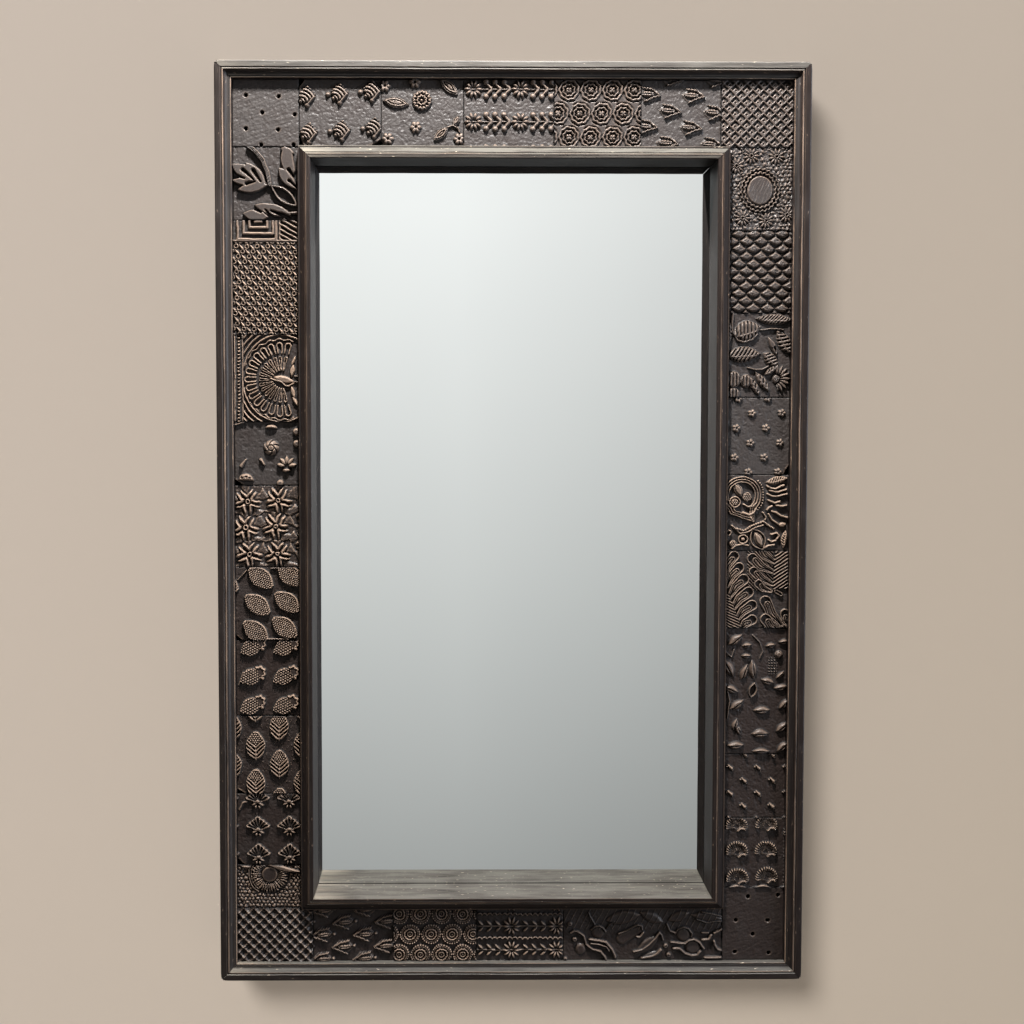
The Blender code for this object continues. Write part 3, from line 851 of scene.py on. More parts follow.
def berry(place):
    """A pointed fruit: grains above, ribs rising from a stem below."""
    x, y = parts(place)
    tall = lens(turned(shift(place, 0, -4.0), 90), 20.5, 11.2)
    egg = lower(tall, oval(shift(place, 0, -1.0), 10.8, 15.4))
    rise = y - abs(x) * 0.9
    ribs = clamp(wave(rise, 4.4) * 1.8) * under(rise, -1.0)
    grains = pebbles(place, 2.5, 2.6) * over(rise, -1.0)
    stem = swell(bar(place, (0, -17.0), (0, -4), 0.9), 4.6, 0.8)
    edge = swell(border(egg, 1.4), 4.6, 0.9)
    body = swell(egg, 1.6, 1.2) + (grains + ribs * 3.0) * over(egg, 0.6)
    return higher(body, edge, stem)


def berry_block(place):
    crumbs = over(noise(place, 0.8, 1.0), 0.70) * 1.2
    return higher(berry(lattice(place, (26.0, -20.4), (26.0, 21.6), (11.5, -8.6))), crumbs)


def palmette(place):
    """A pointed fan of looped petals over two side leaves and two small knobs."""
    base = shift(place, 0, -3.6)
    x, y = parts(base)
    edge = lower((16.6 - y - abs(x) * 0.84) * 0.77, (y - abs(x) * 0.33) * 0.9 + 1.6)
    edge = lower(edge, disc(shift(base, 0, 3.0), 13.2)) + ripple(bearing(base), 18) * 0.35
    along, across = parts(spokes(base, 18, 90))
    hollows = clamp((along * 0.075 + 0.75 - abs(across)) * 1.8) * over(along, 2.6) * clamp(edge - 0.9)
    leaf = higher(swell(edge, 4.6, 1.7) - hollows * 3.4, 0)
    foot = [
        (-3.6, -1.8, 28, 4.2, 1.5),
        (3.6, -1.8, 152, 4.2, 1.5),
        (-1.9, -5.0, 76, 2.8, 1.5),
        (1.9, -5.0, 104, 2.8, 1.5),
    ]
    return higher(leaf, swell(lenses(base, foot), 4.4, 1.2))


def palmette_block(place):
    cell = lattice(place, (34.4, 0.2), (-0.3, 31.0), (-12.4, 3.0))
    twig = swell(line(place, [(-33, 22), (-29, 30), (-25, 31)], 1.2), 3.4, 1.0)
    return higher(palmette(cell), twig)


def sunburst_block(place):
    """A plain disc in a ring of rays, over a ragged field of beads."""
    loose = drifting(place, 0.16, 5.0)
    hub = shift(place, 0.0, 13.3)
    reach = far(hub)
    sun = swell(disc(hub, 8.8), 2.6, 1.0)
    ray = lens(shift(spokes(shift(loose, 2.5, 15.8), 38, 90), 15.5, 0), 6.6, 0.95)
    ragged = clamp(noise(place, 0.2, 2.0) * 2.4 - 0.4)
    beads = pebbles(loose, 4.4, 2.4) * over(reach, 22.5) * ragged
    lips = lenses(place, [(14.0, 20.5, -14, 24.0, 3.4), (-27.0, 22.5, -10, 8.0, 2.4)])
    lips = swell(lips, 4.4, 2.2) * over(reach, 9.4)
    arcs = stripe(wrap(reach - 17.6, 2.6), 0.7, 3.6, 0.7)
    arcs = arcs * under(parts(hub)[0], -12.0) * under(reach, 24.0)
    return higher(sun, swell(ray, 4.0, 0.8), beads, arcs, lips)


def medallion_block(place):
    """A plate in two scalloped rings, with flower heads round it on a pitted ground."""
    loose = drifting(place, 0.11, 7.0)
    centre = stretched(shift(place, -1.0, -1.0), 1.0, 0.9)
    reach = far(centre)
    streaks = noise(stretched(turned(place, 70), 0.08, 0.6), 1.0, 3.0)
    plate = swell(disc(centre, 14.0), 3.0, 1.0) + (streaks - 0.5) * 1.6 * under(reach, 14.0)
    first = swell(scalloped_ring(centre, 16.6, 1.2, 22, 0.7), 4.4, 1.0)
    second = swell(scalloped_ring(centre, 20.4, 1.1, 26, 0.7), 4.0, 1.0)
    spots = [(-19.5, -31), (6.2, -33.6), (28.5, -27), (-10.7, 36), (16.5, 35), (-27, 25)]
    heads = nearest(place, spots)
    petals = lens(shift(spokes(heads, 11), 5.6, 0), 4.0, 1.5)
    head = higher(swell(petals, 3.0, 1.1), swell(ring(heads, 1.9, 0.8), 4.2, 0.8))
    lumps = pebbles(loose, 5.0, 3.0) * clamp(noise(place, 0.2, 2.0) * 2.2 - 0.5)
    pits = lattice(loose, (11.5, 1.0), (4.5, 9.5), (3, 30))
    pits = swell(disc(pits, 2.3), 4.0, 1.4) * over(abs(parts(place)[1]), 21.0)
    rough = (noise(place, 0.5, 3.0, 0.7) - 0.5) * 3.0
    ground = (lumps - pits + rough) * over(reach, 22.4) * over(far(heads), 9.0)
    return higher(plate, first, second, head, ground)


def scale(place):
    x, y = parts(place)
    peak = (1 - abs(x) / 8.0) * 5.6 - y
    belly = (1 - x * x / 60.0) * 4.5 + y
    return swell(lower(peak, belly), 4.4, 2.4)


def scale_block(place):
    rough = (noise(place, 0.55, 3.0, 0.7) - 0.5) * 3.6
    first = scale(lattice(place, (15.7, 0), (0, 16.0), (0.8, 1.0)))
    second = scale(lattice(place, (15.7, 0), (0, 16.0), (8.65, 9.0)))
    return higher(first, second) + rough


def scroll_block(place):
    """Turning leaves with deep ribs, a half-open flower and ribbed domes."""
    leaves = [
        (-13.5, 26.0, 18, 16.5, 12.0, 4.2, 0.3),
        (16.0, 39.2, -2, 20.5, 6.6, 3.6, 1.0),
        (27.5, 14.0, -56, 16.0, 7.8, 4.2, 0.4),
        (14.8, 10.0, -62, 11.5, 3.8, 20.0, 0.0),
        (-17.5, 1.0, 3, 20.0, 9.4, 4.4, 0.7),
        (12.8, -4.6, -42, 11.5, 7.0, 3.8, 0.5),
        (3.6, -28.6, -54, 13.5, 4.6, 5.6, -1.2),
        (-4.6, -33.5, -62, 12.0, 4.2, 5.6, -1.2),
        (-33.5, 24.0, 86, 13.0, 4.6, 4.2, 0.6),
        (13.0, -16.5, 36, 9.0, 3.2, 4.0, 0.8),
    ]
    carved = [ribbed_leaf(placed(place, x, y, turn), *size) for x, y, turn, *size in leaves]
    domes = higher(
        oval(shift(place, -27.8, -26.5), 8.6, 9.6),
        oval(shift(place, -14.0, -28.0), 6.2, 8.0),
        oval(shift(place, -28.0, -42.0), 8.6, 7.0),
    )
    furrows = clamp(wave(parts(place)[0] - 0.4, 3.7) * 2.2 - 0.3) * over(domes, 1.4) * 4.4
    head = shift(place, 18.6, -25.4)
    petals = lens(shift(spokes(head, 17), 10.6, 0), 6.4, 2.0)
    facing = over(parts(turned(head, 8))[0], 0.0)
    hook = [(-28.5, 45), (-29.5, 36), (-28.4, 24), (-24.5, 16.5), (-17, 14.6), (-8, 17), (-2, 23)]
    stems = [
        (hook, 1.2),
        ([(2, 27.5), (12, 29), (26, 28)], 1.0),
        ([(-12, -13.5), (-4, -16), (4, -15), (10, -12)], 1.1),
    ]
    return higher(
        *carved,
        swell(domes, 5.0, 2.4) - furrows,
        swell(petals, 5.0, 1.2) * facing,
        swell(disc(head, 5.0), 4.4, 2.4) - pebbles(place, 2.2, 1.4) * over(disc(head, 4.4), 0),
        swell(lines(place, stems), 4.2, 1.0),
    )


def small_flower_block(place):
    cell = lattice(place, (32.3, 0.4), (-17.0, -16.3), (-6.9, 25.0))
    return flower(cell, 4.9, 5, 3.4)


def paisley_block(place):
    """A paisley of nested lines round a flower, with curved lobes, a rope and buds beside it."""
    x, y = parts(place)
    middle = shift(place, -17.5, 19.0)
    body = higher(disc(middle, 21.5), bar(place, (-16.0, 8.0), (-4.0, -9.5), 17.0, 1.0))
    nested = stripe(wrap(body - 0.9, 2.8), 0.85, 4.2, 0.7) * over(body, 0) * under(body, 7.6)
    beads = swell(disc(shift(spokes(middle, 52), 23.8, 0), 1.2), 3.6, 0.9) * over(x, -1.0)
    bud = lens(placed(place, -21.6, 25.6, 118), 9.0, 5.0)
    seeds = discs(place, [(-11.6, 17.5, 5.2), (-24.7, 11.9, 4.0), (-26.6, -33.8, 4.2)])
    grains = swell(seeds, 2.6, 1.0) + pebbles(place, 2.1, 1.8) * over(seeds, 0.3)
    rings = higher(
        ring(shift(place, -24.7, 11.9), 5.6, 1.0),
        ring(shift(place, -15.4, -28.8), 4.7, 1.1),
        ring(shift(place, -31.6, -21.9), 2.6, 1.1),
        disc(shift(place, -15.4, -28.8), 2.2),
    )
    curves = [
        ([(-15.5, 9.2), (-11.0, 6.6), (-5.5, 7.4), (-2.6, 10.4)], 1.2),
        ([(-16.0, 0.4), (-9.0, -2.4), (-4.5, -0.6), (-1.8, 4.2)], 1.5),
        ([(-8.0, -4.6), (-5.8, -7.6)], 1.4),
        ([(10.6, 29.4), (15, 27.0), (20.0, 26.6), (28.4, 30.0)], 1.4),
        ([(13.4, 24.2), (22.0, 22.8), (31.0, 25.6)], 1.3),
        ([(10.6, 20.4), (16, 18.2), (22.0, 18.4), (32.0, 20.8)], 1.3),
        ([(11.6, 13.4), (18.4, 10.6), (24.0, 12.6)], 1.5),
        ([(20.5, 8.2), (26.0, 7.0), (32.0, 8.0)], 1.4),
        ([(10.4, 3.0), (12.0, 5.6), (15.6, 7.0)], 1.4),
        ([(16.0, 1.6), (21.0, 0.0), (26.0, -3.4), (33.0, -5.4)], 1.5),
        ([(6.0, 0.0), (9.5, -5.0), (8.0, -8.0)], 1.1),
        ([(12.0, -1.5), (16.0, -7.5), (22.5, -12.0)], 1.2),
    ]
    rope = line(place, [(-23, -17.5), (-14, -19.6), (-6, -14.0), (6.5, -9.8), (18.0, -17.2)], 1.5)
    second = line(place, [(-28, -14.0), (-19, -22.5), (-10, -21.0), (-3.0, -16.4), (6.5, -13.4)], 1.1)
    knots = clamp(wave(x + y * 0.4, 2.8) * 1.6) * 1.8 * over(rope, 0)
    large = lens(placed(place, 1.5, -29.4, 118), 9.6, 4.8)
    around = lens(placed(place, 0.6, -29.0, 118), 13.0, 8.6)
    twigs = [
        ([(-28, -39), (-23, -35.6), (-16.6, -34.4), (-9.5, -36)], 1.3),
        ([(8.4, -37.8), (13, -35.6), (18.4, -35.0)], 1.5),
        ([(12.0, -29.4), (15.5, -31.4), (20.5, -30.0)], 1.3),
        ([(15.0, -23.4), (21.0, -22.0), (24.0, -25.0), (21.5, -28.4)], 1.3),
    ]
    knob = oval(shift(place, 27.2, -13.2), 4.6, 2.8)
    return higher(
        nested,
        beads,
        swell(bud, 4.8, 2.6) - hollowed(bud, 1.9, 1.8),
        grains,
        swell(higher(rings, lines(place, curves)), 4.4, 1.1),
        swell(rope, 4.6, 1.2) - knots,
        swell(second, 4.0, 1.0),
        swell(large, 5.0, 2.8) - hollowed(large, 1.7, 1.8),
        swell(border(around, 1.8), 4.0, 0.9),
        swell(higher(lines(place, twigs), knob), 4.4, 1.2),
        ribbed_leaf(placed(place, 20.9, 35.8, 12), 12.5, 4.6, 2.8, 0.6, 4.4),
        ribbed_leaf(placed(place, 29.6, -29.0, 82), 10.5, 3.8, 2.8, 0.6, 4.4),
    )


def plume(place, under_it, tip, root, half):
    """One lobe of a feather, laid over what is under it: a bold edge and nested hairpins."""
    run_x, run_y = root[0] - tip[0], root[1] - tip[1]
    length = hypot(run_x, run_y)
    bend = (tip[0] + run_x * 0.45 + run_y / length * 2.0, tip[1] + run_y * 0.45 - run_x / length * 2.0)
    inner = (tip[0] + run_x / length * 4.2, tip[1] + run_y / length * 4.2)
    outline = bars(place, [(tip, bend, half, half * 0.86), (bend, root, half * 0.86, half * 0.5)])
    core = bars(place, [(inner, bend, half * 0.56, half * 0.52), (bend, root, half * 0.52, half * 0.3)])
    edge = stripe(outline - 0.9, 0.85, 4.0, 0.8)
    hairpin = stripe(core - 0.7, 0.7, 3.4, 0.7)
    quill = stripe(core - 2.9, 0.6, 3.2, 0.6)
    share = over(outline, 0)
    return under_it * (1 - share) + higher(edge, hairpin, quill) * share


def fern_block(place):
    """Overlapping feathers whose lobes curl back on themselves, with barbs at both sides."""
    x, y = parts(place)
    lobes = [
        ((2.0, 45.0), (19.0, 30.0), 6.0),
        ((-5.1, 34.0), (17.5, 19.5), 6.2),
        ((-3.4, 20.0), (17.0, 6.0), 5.8),
        ((1.8, 6.6), (15.6, -1.6), 5.0),
        ((-25.4, 36.4), (-35.5, 16.0), 6.2),
        ((-19.6, 24.0), (-32.5, 4.0), 6.2),
        ((-14.6, 11.0), (-29.4, -8.5), 6.4),
        ((-9.1, -3.0), (-25.8, -21.0), 6.4),
        ((-5.1, -17.4), (-21.6, -33.4), 6.4),
        ((-4.8, -33.6), (-17.4, -45.0), 6.2),
        ((31.0, -26.0), (36.0, -42.0), 5.4),
        ((9.8, -13.0), (27.0, -39.0), 6.8),
        ((10.4, -33.0), (25.6, -46.0), 6.8),
    ]
    carved = stripe(wrap(y + x * 1.0, 3.6), 0.8, 3.2, 0.8) * over(y, -1.0) * under(abs(x - 4.0), 14.0)
    for tip, root, half in lobes:
        carved = plume(place, carved, tip, root, half)
    left_of = (x + 28.5) * 0.94 + (y + 9.0) * 0.34
    right_of = (x - 18.6) * 0.997 - (y - 20.0) * 0.06
    left_barbs = stripe(wrap(y + x * 0.45, 3.0), 0.95, 3.6, 0.8)
    right_barbs = stripe(wrap(y - x * 0.66, 3.9), 1.0, 3.6, 0.9)
    at_left = under(left_of, 0) * under(y, -4.0)
    at_right = over(right_of, 0) * over(y, 0.6)
    carved = carved * (1 - at_left) + left_barbs * at_left
    carved = carved * (1 - at_right) + right_barbs * at_right
    curl = bar(place, (21.6, -2.4), (26.6, -5.4), 2.5)
    return higher(carved, stripe(curl - 0.8, 0.8, 3.6, 0.8))


def tulip_block(place):
    """Loose tulip leaves and one drop, bell and dotted patch, on thin stems."""
    leaves = [
        (-23.0, 57.0, 38, 10.5, 6.2),
        (-10.0, 51.0, 6, 6.4, 3.8),
        (-10.5, 39.5, 0, 6.4, 3.6),
        (16.0, 51.0, 8, 6.6, 3.8),
        (30.5, 55.0, 4, 6.8, 3.6),
        (-29.5, 26.0, -62, 13.0, 6.4),
        (-13.0, 21.0, 66, 11.0, 5.6),
        (-3.0, 24.0, 96, 12.0, 5.8),
        (13.5, 11.0, -16, 9.0, 5.0),
        (27.0, 18.0, 44, 7.0, 3.4),
        (28.0, 4.5, 10, 9.4, 4.4),
        (-26.0, 2.0, -24, 9.0, 5.0),
        (-20.5, -15.0, 34, 11.0, 5.8),
        (7.0, -21.0, 4, 10.6, 5.6),
        (32.0, -14.0, 44, 10.0, 5.0),
        (5.5, -47.0, 2, 11.2, 6.2),
        (29.0, -40.0, 40, 9.6, 5.2),
        (-22.5, -37.0, 70, 7.5, 4.4),
        (-21.5, -60.0, 2, 10.6, 5.6),
        (7.0, -66.5, 0, 10.6, 4.4),
        (30.5, -62.0, 42, 9.6, 5.2),
        (-18.5, -43.0, 110, 7.0, 3.2),
    ]
    carved = []
    for left, up, turn, long, wide in leaves:
        carved.append(grooved_leaf(placed(place, left, up, turn), long * 0.9, wide * 0.86, 4.4))
    x, y = parts(place)
    drop = lens(placed(place, -3.0, 1.5, 76), 8.6, 5.2)
    dots = swell(disc(lattice(place, (3.2, 0), (0, 3.0), (18, 28)), 0.9), 2.4, 0.6)
    dots = dots * over(5.0 - abs(x - 19.0), 0) * over(9.0 - abs(y - 28.0), 0)
    bell = shift(place, 25.0, 41.0)
    stems = [
        ([(-33, 8), (-28, -12), (-31, -30)], 0.8),
        ([(-34, 44), (-27, 38), (-24, 46)], 0.7),
        ([(-4, 62), (4, 54), (8, 44), (4, 36)], 0.7),
    ]
    return higher(
        *carved,
        swell(border(drop, 2.2), 4.6, 1.0),
        dots,
        swell(disc(bell, 4.8), 5.0, 2.0) - swell(ring(bell, 3.2, 0.6), 1.6, 0.5),
        swell(lines(place, stems), 2.8, 0.8),
    )


def bud_block(place):
    cell = lattice(place, (31.2, 0.0), (15.6, 14.4), (3.9, 21.2))
    drop = bar(cell, (-1.6, 1.8), (1.4, -1.4), 1.3, 2.3)
    dots = disc(nearest(cell, [(2.6, -3.6), (-3.4, 0.4)]), 1.3)
    return higher(swell(drop, 4.6, 1.8), swell(dots, 3.6, 1.1))


def shell(place):
    """Ribs that rise to bright tips in an open fan, over a small curled claw."""
    x, y = parts(place)
    reach = far(place)
    rib = clamp(ripple(bearing(place) + reach * 0.02, 27) * 1.5 + 0.2)
    tall = swell(12.8 - reach, 1.0, 1.5) * (1.5 + clamp((reach - 7.0) * 0.25) * 3.3)
    ribs = tall * rib * clamp((y + 3.6) * 0.6) * over(reach, 2.4)
    claw = line(shift(place, 4.8, -3.2), [(-3.4, -1.6), (-0.6, 1.0), (2.6, 1.2), (4.6, -0.2)], 1.5)
    nails = clamp(wave(x + y, 2.2) * 1.5) * 1.6 * over(claw, 0)
    return higher(ribs, swell(claw, 4.8, 1.3) - nails)


def shell_block(place):
    """Rows of shells, with a fringe at the right and a ledge below."""
    spots = [(-19.3, 29), (14.0, 30), (-18.5, 0.2), (13.6, 0.6), (-17.8, -30), (15.0, -28.6)]
    beyond = [(45, 22), (46, -6)]
    x, y = parts(place)
    fringe = swell(lower(1.2 - abs(wrap(y, 4.0)), x - 33.2), 1.2, 1.0)
    ledge = swell(-37.2 - y + wave(x - 4.0, 29.0) * 1.6, 3.4, 1.2)
    return higher(shell(nearest(place, spots + beyond)), fringe, ledge)


def drilled_face(place, spots):
    """A plain fibrous face with a deep hole at each spot."""
    fibres = noise(stretched(turned(place, 24), 0.06, 0.34), 1.0, 4.0, 0.62)
    dents = noise(place, 0.12, 2.0)
    return fibres * 1.1 + dents * 0.7 - swell(disc(nearest(place, spots), 2.2), 12.0, 0.9)


def top_drilled(place):
    upper = [(-21.2, 18.9), (13.9, 17.8), (-3.9, 0.5), (31.2, -1.6)]
    below = [(-21.2, -16.7), (13.4, -17.8), (-5, -33.6), (29.8, -34)]
    return drilled_face(place, upper + below)


def right_drilled(place):
    upper = [(-5.6, 30.4), (27.9, 32.0), (-19, 3.6), (16.7, 3.6)]
    below = [(0, -12), (-20, -32), (17.8, -33)]
    return drilled_face(place, upper + below)


def blossom_block(place):
    """Large low petals with thin raised edges, and twisted stems between them."""
    ridges = [
        ([(-80, 1), (-76.5, 3.4), (-72.9, 3), (-65.4, -2.6), (-62.9, -11.4), (-55.4, -17.6)], 1.3),
        ([(-55.4, -17.6), (-46.6, -20), (-41.6, -26.4), (-40.4, -30)], 1.5),
        ([(-59, -6.4), (-49, -7.6), (-40.4, -10), (-34, -17.6), (-30.4, -27)], 1.6),
        ([(-57.9, -10.8), (-49, -12), (-40.4, -14.5), (-37, -19)], 1.2),
        ([(-57.4, 4.6), (-53, 8), (-48.4, 8.6), (-44, 6.6), (-41, 2)], 1.1),
        ([(-26.6, 0), (-17.9, 3.6), (-5.4, 9.9), (-1.4, 8.6), (-0.4, 4.4)], 1.1),
        ([(0.6, 1.0), (-2.9, -3.3), (-6.6, -3.3)], 1.4),
        ([(-9.8, -20), (-0.4, -17.6), (7, -12.6), (14.6, -5), (18.4, 1.1)], 1.4),
        ([(18.4, 1.1), (20.9, -1.4), (22.8, -7.6)], 1.1),
        ([(-0.4, -27.6), (10.9, -25), (16.5, -22.2), (20.6, -18.6)], 1.8),
        ([(27, 10.5), (29.6, 3.6), (36, 0.6)], 1.1),
        ([(36, -1), (39, 4.4), (45.4, 7.0), (51.4, 5.4), (55, 0.4), (54.4, -3.6)], 1.0),
        ([(32, -10), (39.6, -10.8), (47, -10.8), (50.9, -7.6), (57, -6.4), (63.4, -10), (68.4, -17)], 1.4),
        ([(35, -17), (40.9, -17), (47, -22.6), (54.6, -25), (60.9, -24), (64, -20)], 1.8),
        ([(66.5, -7), (73.4, -6.4), (76.4, -2.0)], 1.8),
        ([(66, 1.1), (73.4, 1.1)], 1.1),
        ([(80, 0.6), (84, 2.6), (88, 5.6)], 1.8),
        ([(79.4, -9.0), (80.3, -12.6), (83.4, -17.6), (88, -19)], 1.6),
        ([(69.6, -27), (88, -27)], 1.7),
        ([(66, 24), (76, 22.4), (88, 19)], 0.9),
        ([(60, 16), (72, 12), (88, 14)], 0.9),
        ([(-40, 5), (-36.4, 10.6), (-31, 14)], 0.8),
        ([(-60, 24), (-56, 16), (-53, 10)], 0.7),
    ]
    petals = [
        (5.0, -13.0, 38, 18.0, 6.5),
        (8.0, -25.0, 18, 14.0, 4.5),
        (72.0, 18.0, -8, 19.0, 6.0),
        (-22.0, 18.0, 10, 20.0, 8.0),
        (10.0, 18.0, -24, 15.0, 6.0),
        (40.0, 19.0, 20, 13.0, 6.0),
    ]
    low = higher(
        bar(place, (-23.0, -6.0), (-5.0, 4.0), 6.6, 5.0),
        lenses(place, petals),
        discs(place, [(-49.5, 1.4, 7.2), (45.6, -1.2, 8.0), (56.0, -15.6, 8.6)]),
        oval(shift(place, -69.0, -17.4), 6.2, 7.0),
    )
    knobs = nearest(place, [(25.9, -13.9), (29.0, -24.0), (-81.0, 11.0), (-86.0, -28.6), (-75.4, -6.4)])
    slant = parts(turned(place, 62))[1]
    veins = stripe(wrap(slant, 6.4), 0.5, 0.9, 0.5) * over(parts(place)[1], 4.0)
    return higher(
        swell(lines(place, ridges), 4.6, 1.2),
        swell(low, 2.4, 3.4) + veins,
        swell(disc(knobs, 2.9), 4.4, 1.8) - swell(disc(knobs, 1.0), 2.0, 0.6),
    )


# Which pattern each block has: relief in millimetres, how worn its tops are, how brown its wood is,
# and its chipped corners as (side across, side up, size across, size up). How brown it is is partly the
# wood's own colour and partly painted shade: greyer and paler along the top, browner and darker lower
# down.
Carving = namedtuple("Carving", "pattern relief worn tone chips", defaults=((),))

SPRIG_CHIPS = ((1, -1, 14, 8), (-1, -1, 5, 12), (-1, 1, 6, 8))

CARVINGS = {
    "block_top_1_drilled": Carving(top_drilled, 1.3, 0.0, 0.1),
    "block_top_2_sprigs": Carving(sprig_block, 5.4, 0.15, 0.1, SPRIG_CHIPS),
    "block_top_3_posies": Carving(posy_block, 4.6, 0.2, 0.0, ((-1, -1, 4, 6),)),
    "block_top_4_garlands": Carving(top_garlands, 4.8, 0.15, 0.2),
    "block_top_5_roundels": Carving(top_roundels, 4.4, 0.08, 0.45),
    "block_top_6_leaf_sprigs": Carving(top_leaf_sprigs, 4.6, 0.12, 0.1),
    "block_top_7_lattice": Carving(lattice_block, 4.0, 0.05, 0.5),
    "block_left_1_vine": Carving(vine_block, 7.0, 0.05, 0.2),
    "block_left_2_meander": Carving(meander_block, 4.2, 0.25, 0.5),
    "block_left_3_pinwheels": Carving(pinwheel_block, 3.6, 0.45, 0.7),
    "block_left_4_peacock": Carving(peacock_block, 4.0, 1.35, 0.6),
    "block_left_5_sparse_flowers": Carving(sparse_block, 6.0, 0.45, 0.2, ((-1, -1, 9, 6),)),
    "block_left_6_star_flowers": Carving(star_block, 5.4, 0.75, 0.7),
    "block_left_7_pods": Carving(pod_block, 5.2, 0.6, 0.8, ((-1, -1, 6, 5),)),
    "block_left_8_thistles": Carving(thistle_block, 5.6, 0.55, 0.9),
    "block_left_9_berries": Carving(berry_block, 4.8, 0.8, 0.9, ((-1, -1, 8, 5),)),
    "block_left_10_palmettes": Carving(palmette_block, 5.0, 0.36, 0.9, ((-1, -1, 7, 7),)),
    "block_left_11_sunburst": Carving(sunburst_block, 4.4, 0.4, 1.0, ((1, 1, 5, 4),)),
    "block_right_1_medallion": Carving(medallion_block, 4.6, 0.14, 0.4),
    "block_right_2_scales": Carving(scale_block, 5.0, 0.05, 0.5),
    "block_right_3_scroll_leaves": Carving(scroll_block, 5.2, 0.07, 0.5),
    "block_right_4_small_flowers": Carving(small_flower_block, 4.4, 0.3, 0.2, ((1, -1, 6, 11),)),
    "block_right_5_paisley": Carving(paisley_block, 5.0, 0.65, 0.6),
    "block_right_6_ferns": Carving(fern_block, 3.6, 0.3, 0.6),
    "block_right_7_tulips": Carving(tulip_block, 5.0, 0.2, 1.0),
    "block_right_8_buds": Carving(bud_block, 4.6, 0.35, 1.0),
    "block_right_9_shells": Carving(shell_block, 5.0, 0.45, 0.9),
    "block_right_10_drilled": Carving(right_drilled, 1.3, 0.0, 1.0),
    "block_bottom_1_scallops": Carving(scallop_block, 3.4, 0.22, 1.0),
    "block_bottom_2_leaf_sprigs": Carving(bottom_leaf_sprigs, 4.6, 0.3, 0.9),
    "block_bottom_3_roundels": Carving(bottom_roundels, 4.4, 0.45, 0.9),
    "block_bottom_4_garlands": Carving(bottom_garlands, 4.8, 0.35, 0.9),
    "block_bottom_5_blossoms": Carving(blossom_block, 5.6, 0.15, 0.9),
}


# Geometry Nodes.


def new_tree(name, inputs):
    tree = bpy.data.node_groups.new(name, "GeometryNodeTree")
    for label, kind in inputs:
        tree.interface.new_socket(label, in_out="INPUT", socket_type=kind)
    tree.interface.new_socket("Shape", in_out="OUTPUT", socket_type="NodeSocketGeometry")
    return tree


def end_tree(shape, material):
    solid = shape.node("GeometryNodeRealizeInstances", None, {0: shape})
    dressed = shape.node("GeometryNodeSetMaterial", None, {"Geometry": solid, "Material": material})
    shape.node("NodeGroupOutput", None, {0: dressed})


def stored(shape, name, value, kind="FLOAT", domain="POINT"):
    settings = {"data_type": kind, "domain": domain}
    sockets = {"Geometry": shape, "Name": name, "Value": value}
    return shape.node("GeometryNodeStoreNamedAttribute", settings, sockets)


def moved(shape, place, selection=True):
    sockets = {"Geometry": shape, "Selection": selection, "Position": place}
    return shape.node("GeometryNodeSetPosition", None, sockets)


def smoothed(shape):
    return shape.node("GeometryNodeSetShadeSmooth", None, {"Geometry": shape})


def grown_mesh(holder, tree, values):
    """Runs a tree on an object and gives the object the plain mesh that it makes."""
    modifier = holder.modifiers.new("shape", "NODES")
    modifier.node_group = tree
    for item in tree.interface.items_tree:
        if item.in_out == "INPUT" and item.name in values:
            modifier[item.identifier] = values[item.name]
    graph = bpy.context.evaluated_depsgraph_get()
    mesh = bpy.data.meshes.new_from_object(holder.evaluated_get(graph))
    holder.modifiers.remove(modifier)
    holder.data = mesh
    return mesh


def new_piece(name, mesh):
    piece = bpy.data.objects.new(name, mesh)
    bpy.context.scene.collection.objects.link(piece)
    return piece


def close_mesh(mesh, weld=0.0):
    """Fills open ends, turns faces outwards and parks the fills in a corner of the map."""
    shape = bmesh.new()
    shape.from_mesh(mesh)
    if weld:
        bmesh.ops.remove_doubles(shape, verts=shape.verts, dist=weld)
    rims = [edge for edge in shape.edges if len(edge.link_faces) == 1]
    filled = bmesh.ops.holes_fill(shape, edges=rims, sides=0)["faces"]
    bmesh.ops.recalc_face_normals(shape, faces=shape.faces)
    layer = shape.loops.layers.uv.active
    for face in filled:
        face.smooth = False
        around = arc((PARKED_AT, PARKED_AT), PARKED_RADIUS, 0, 2 * pi, len(face.loops))
        for corner, place in zip(face.loops, around):
            corner[layer].uv = place
    shape.to_mesh(mesh)
    shape.free()


CARVING_INPUTS = (
    ("Width", "NodeSocketFloat"),
    ("Height", "NodeSocketFloat"),
    ("Cells across", "NodeSocketInt"),
    ("Cells up", "NodeSocketInt"),
    ("Relief", "NodeSocketFloat"),
    ("Worn", "NodeSocketFloat"),
    ("Tone", "NodeSocketFloat"),
    ("Seed", "NodeSocketVector"),
    ("Face", "NodeSocketVector"),
    ("Rear", "NodeSocketFloat"),
)


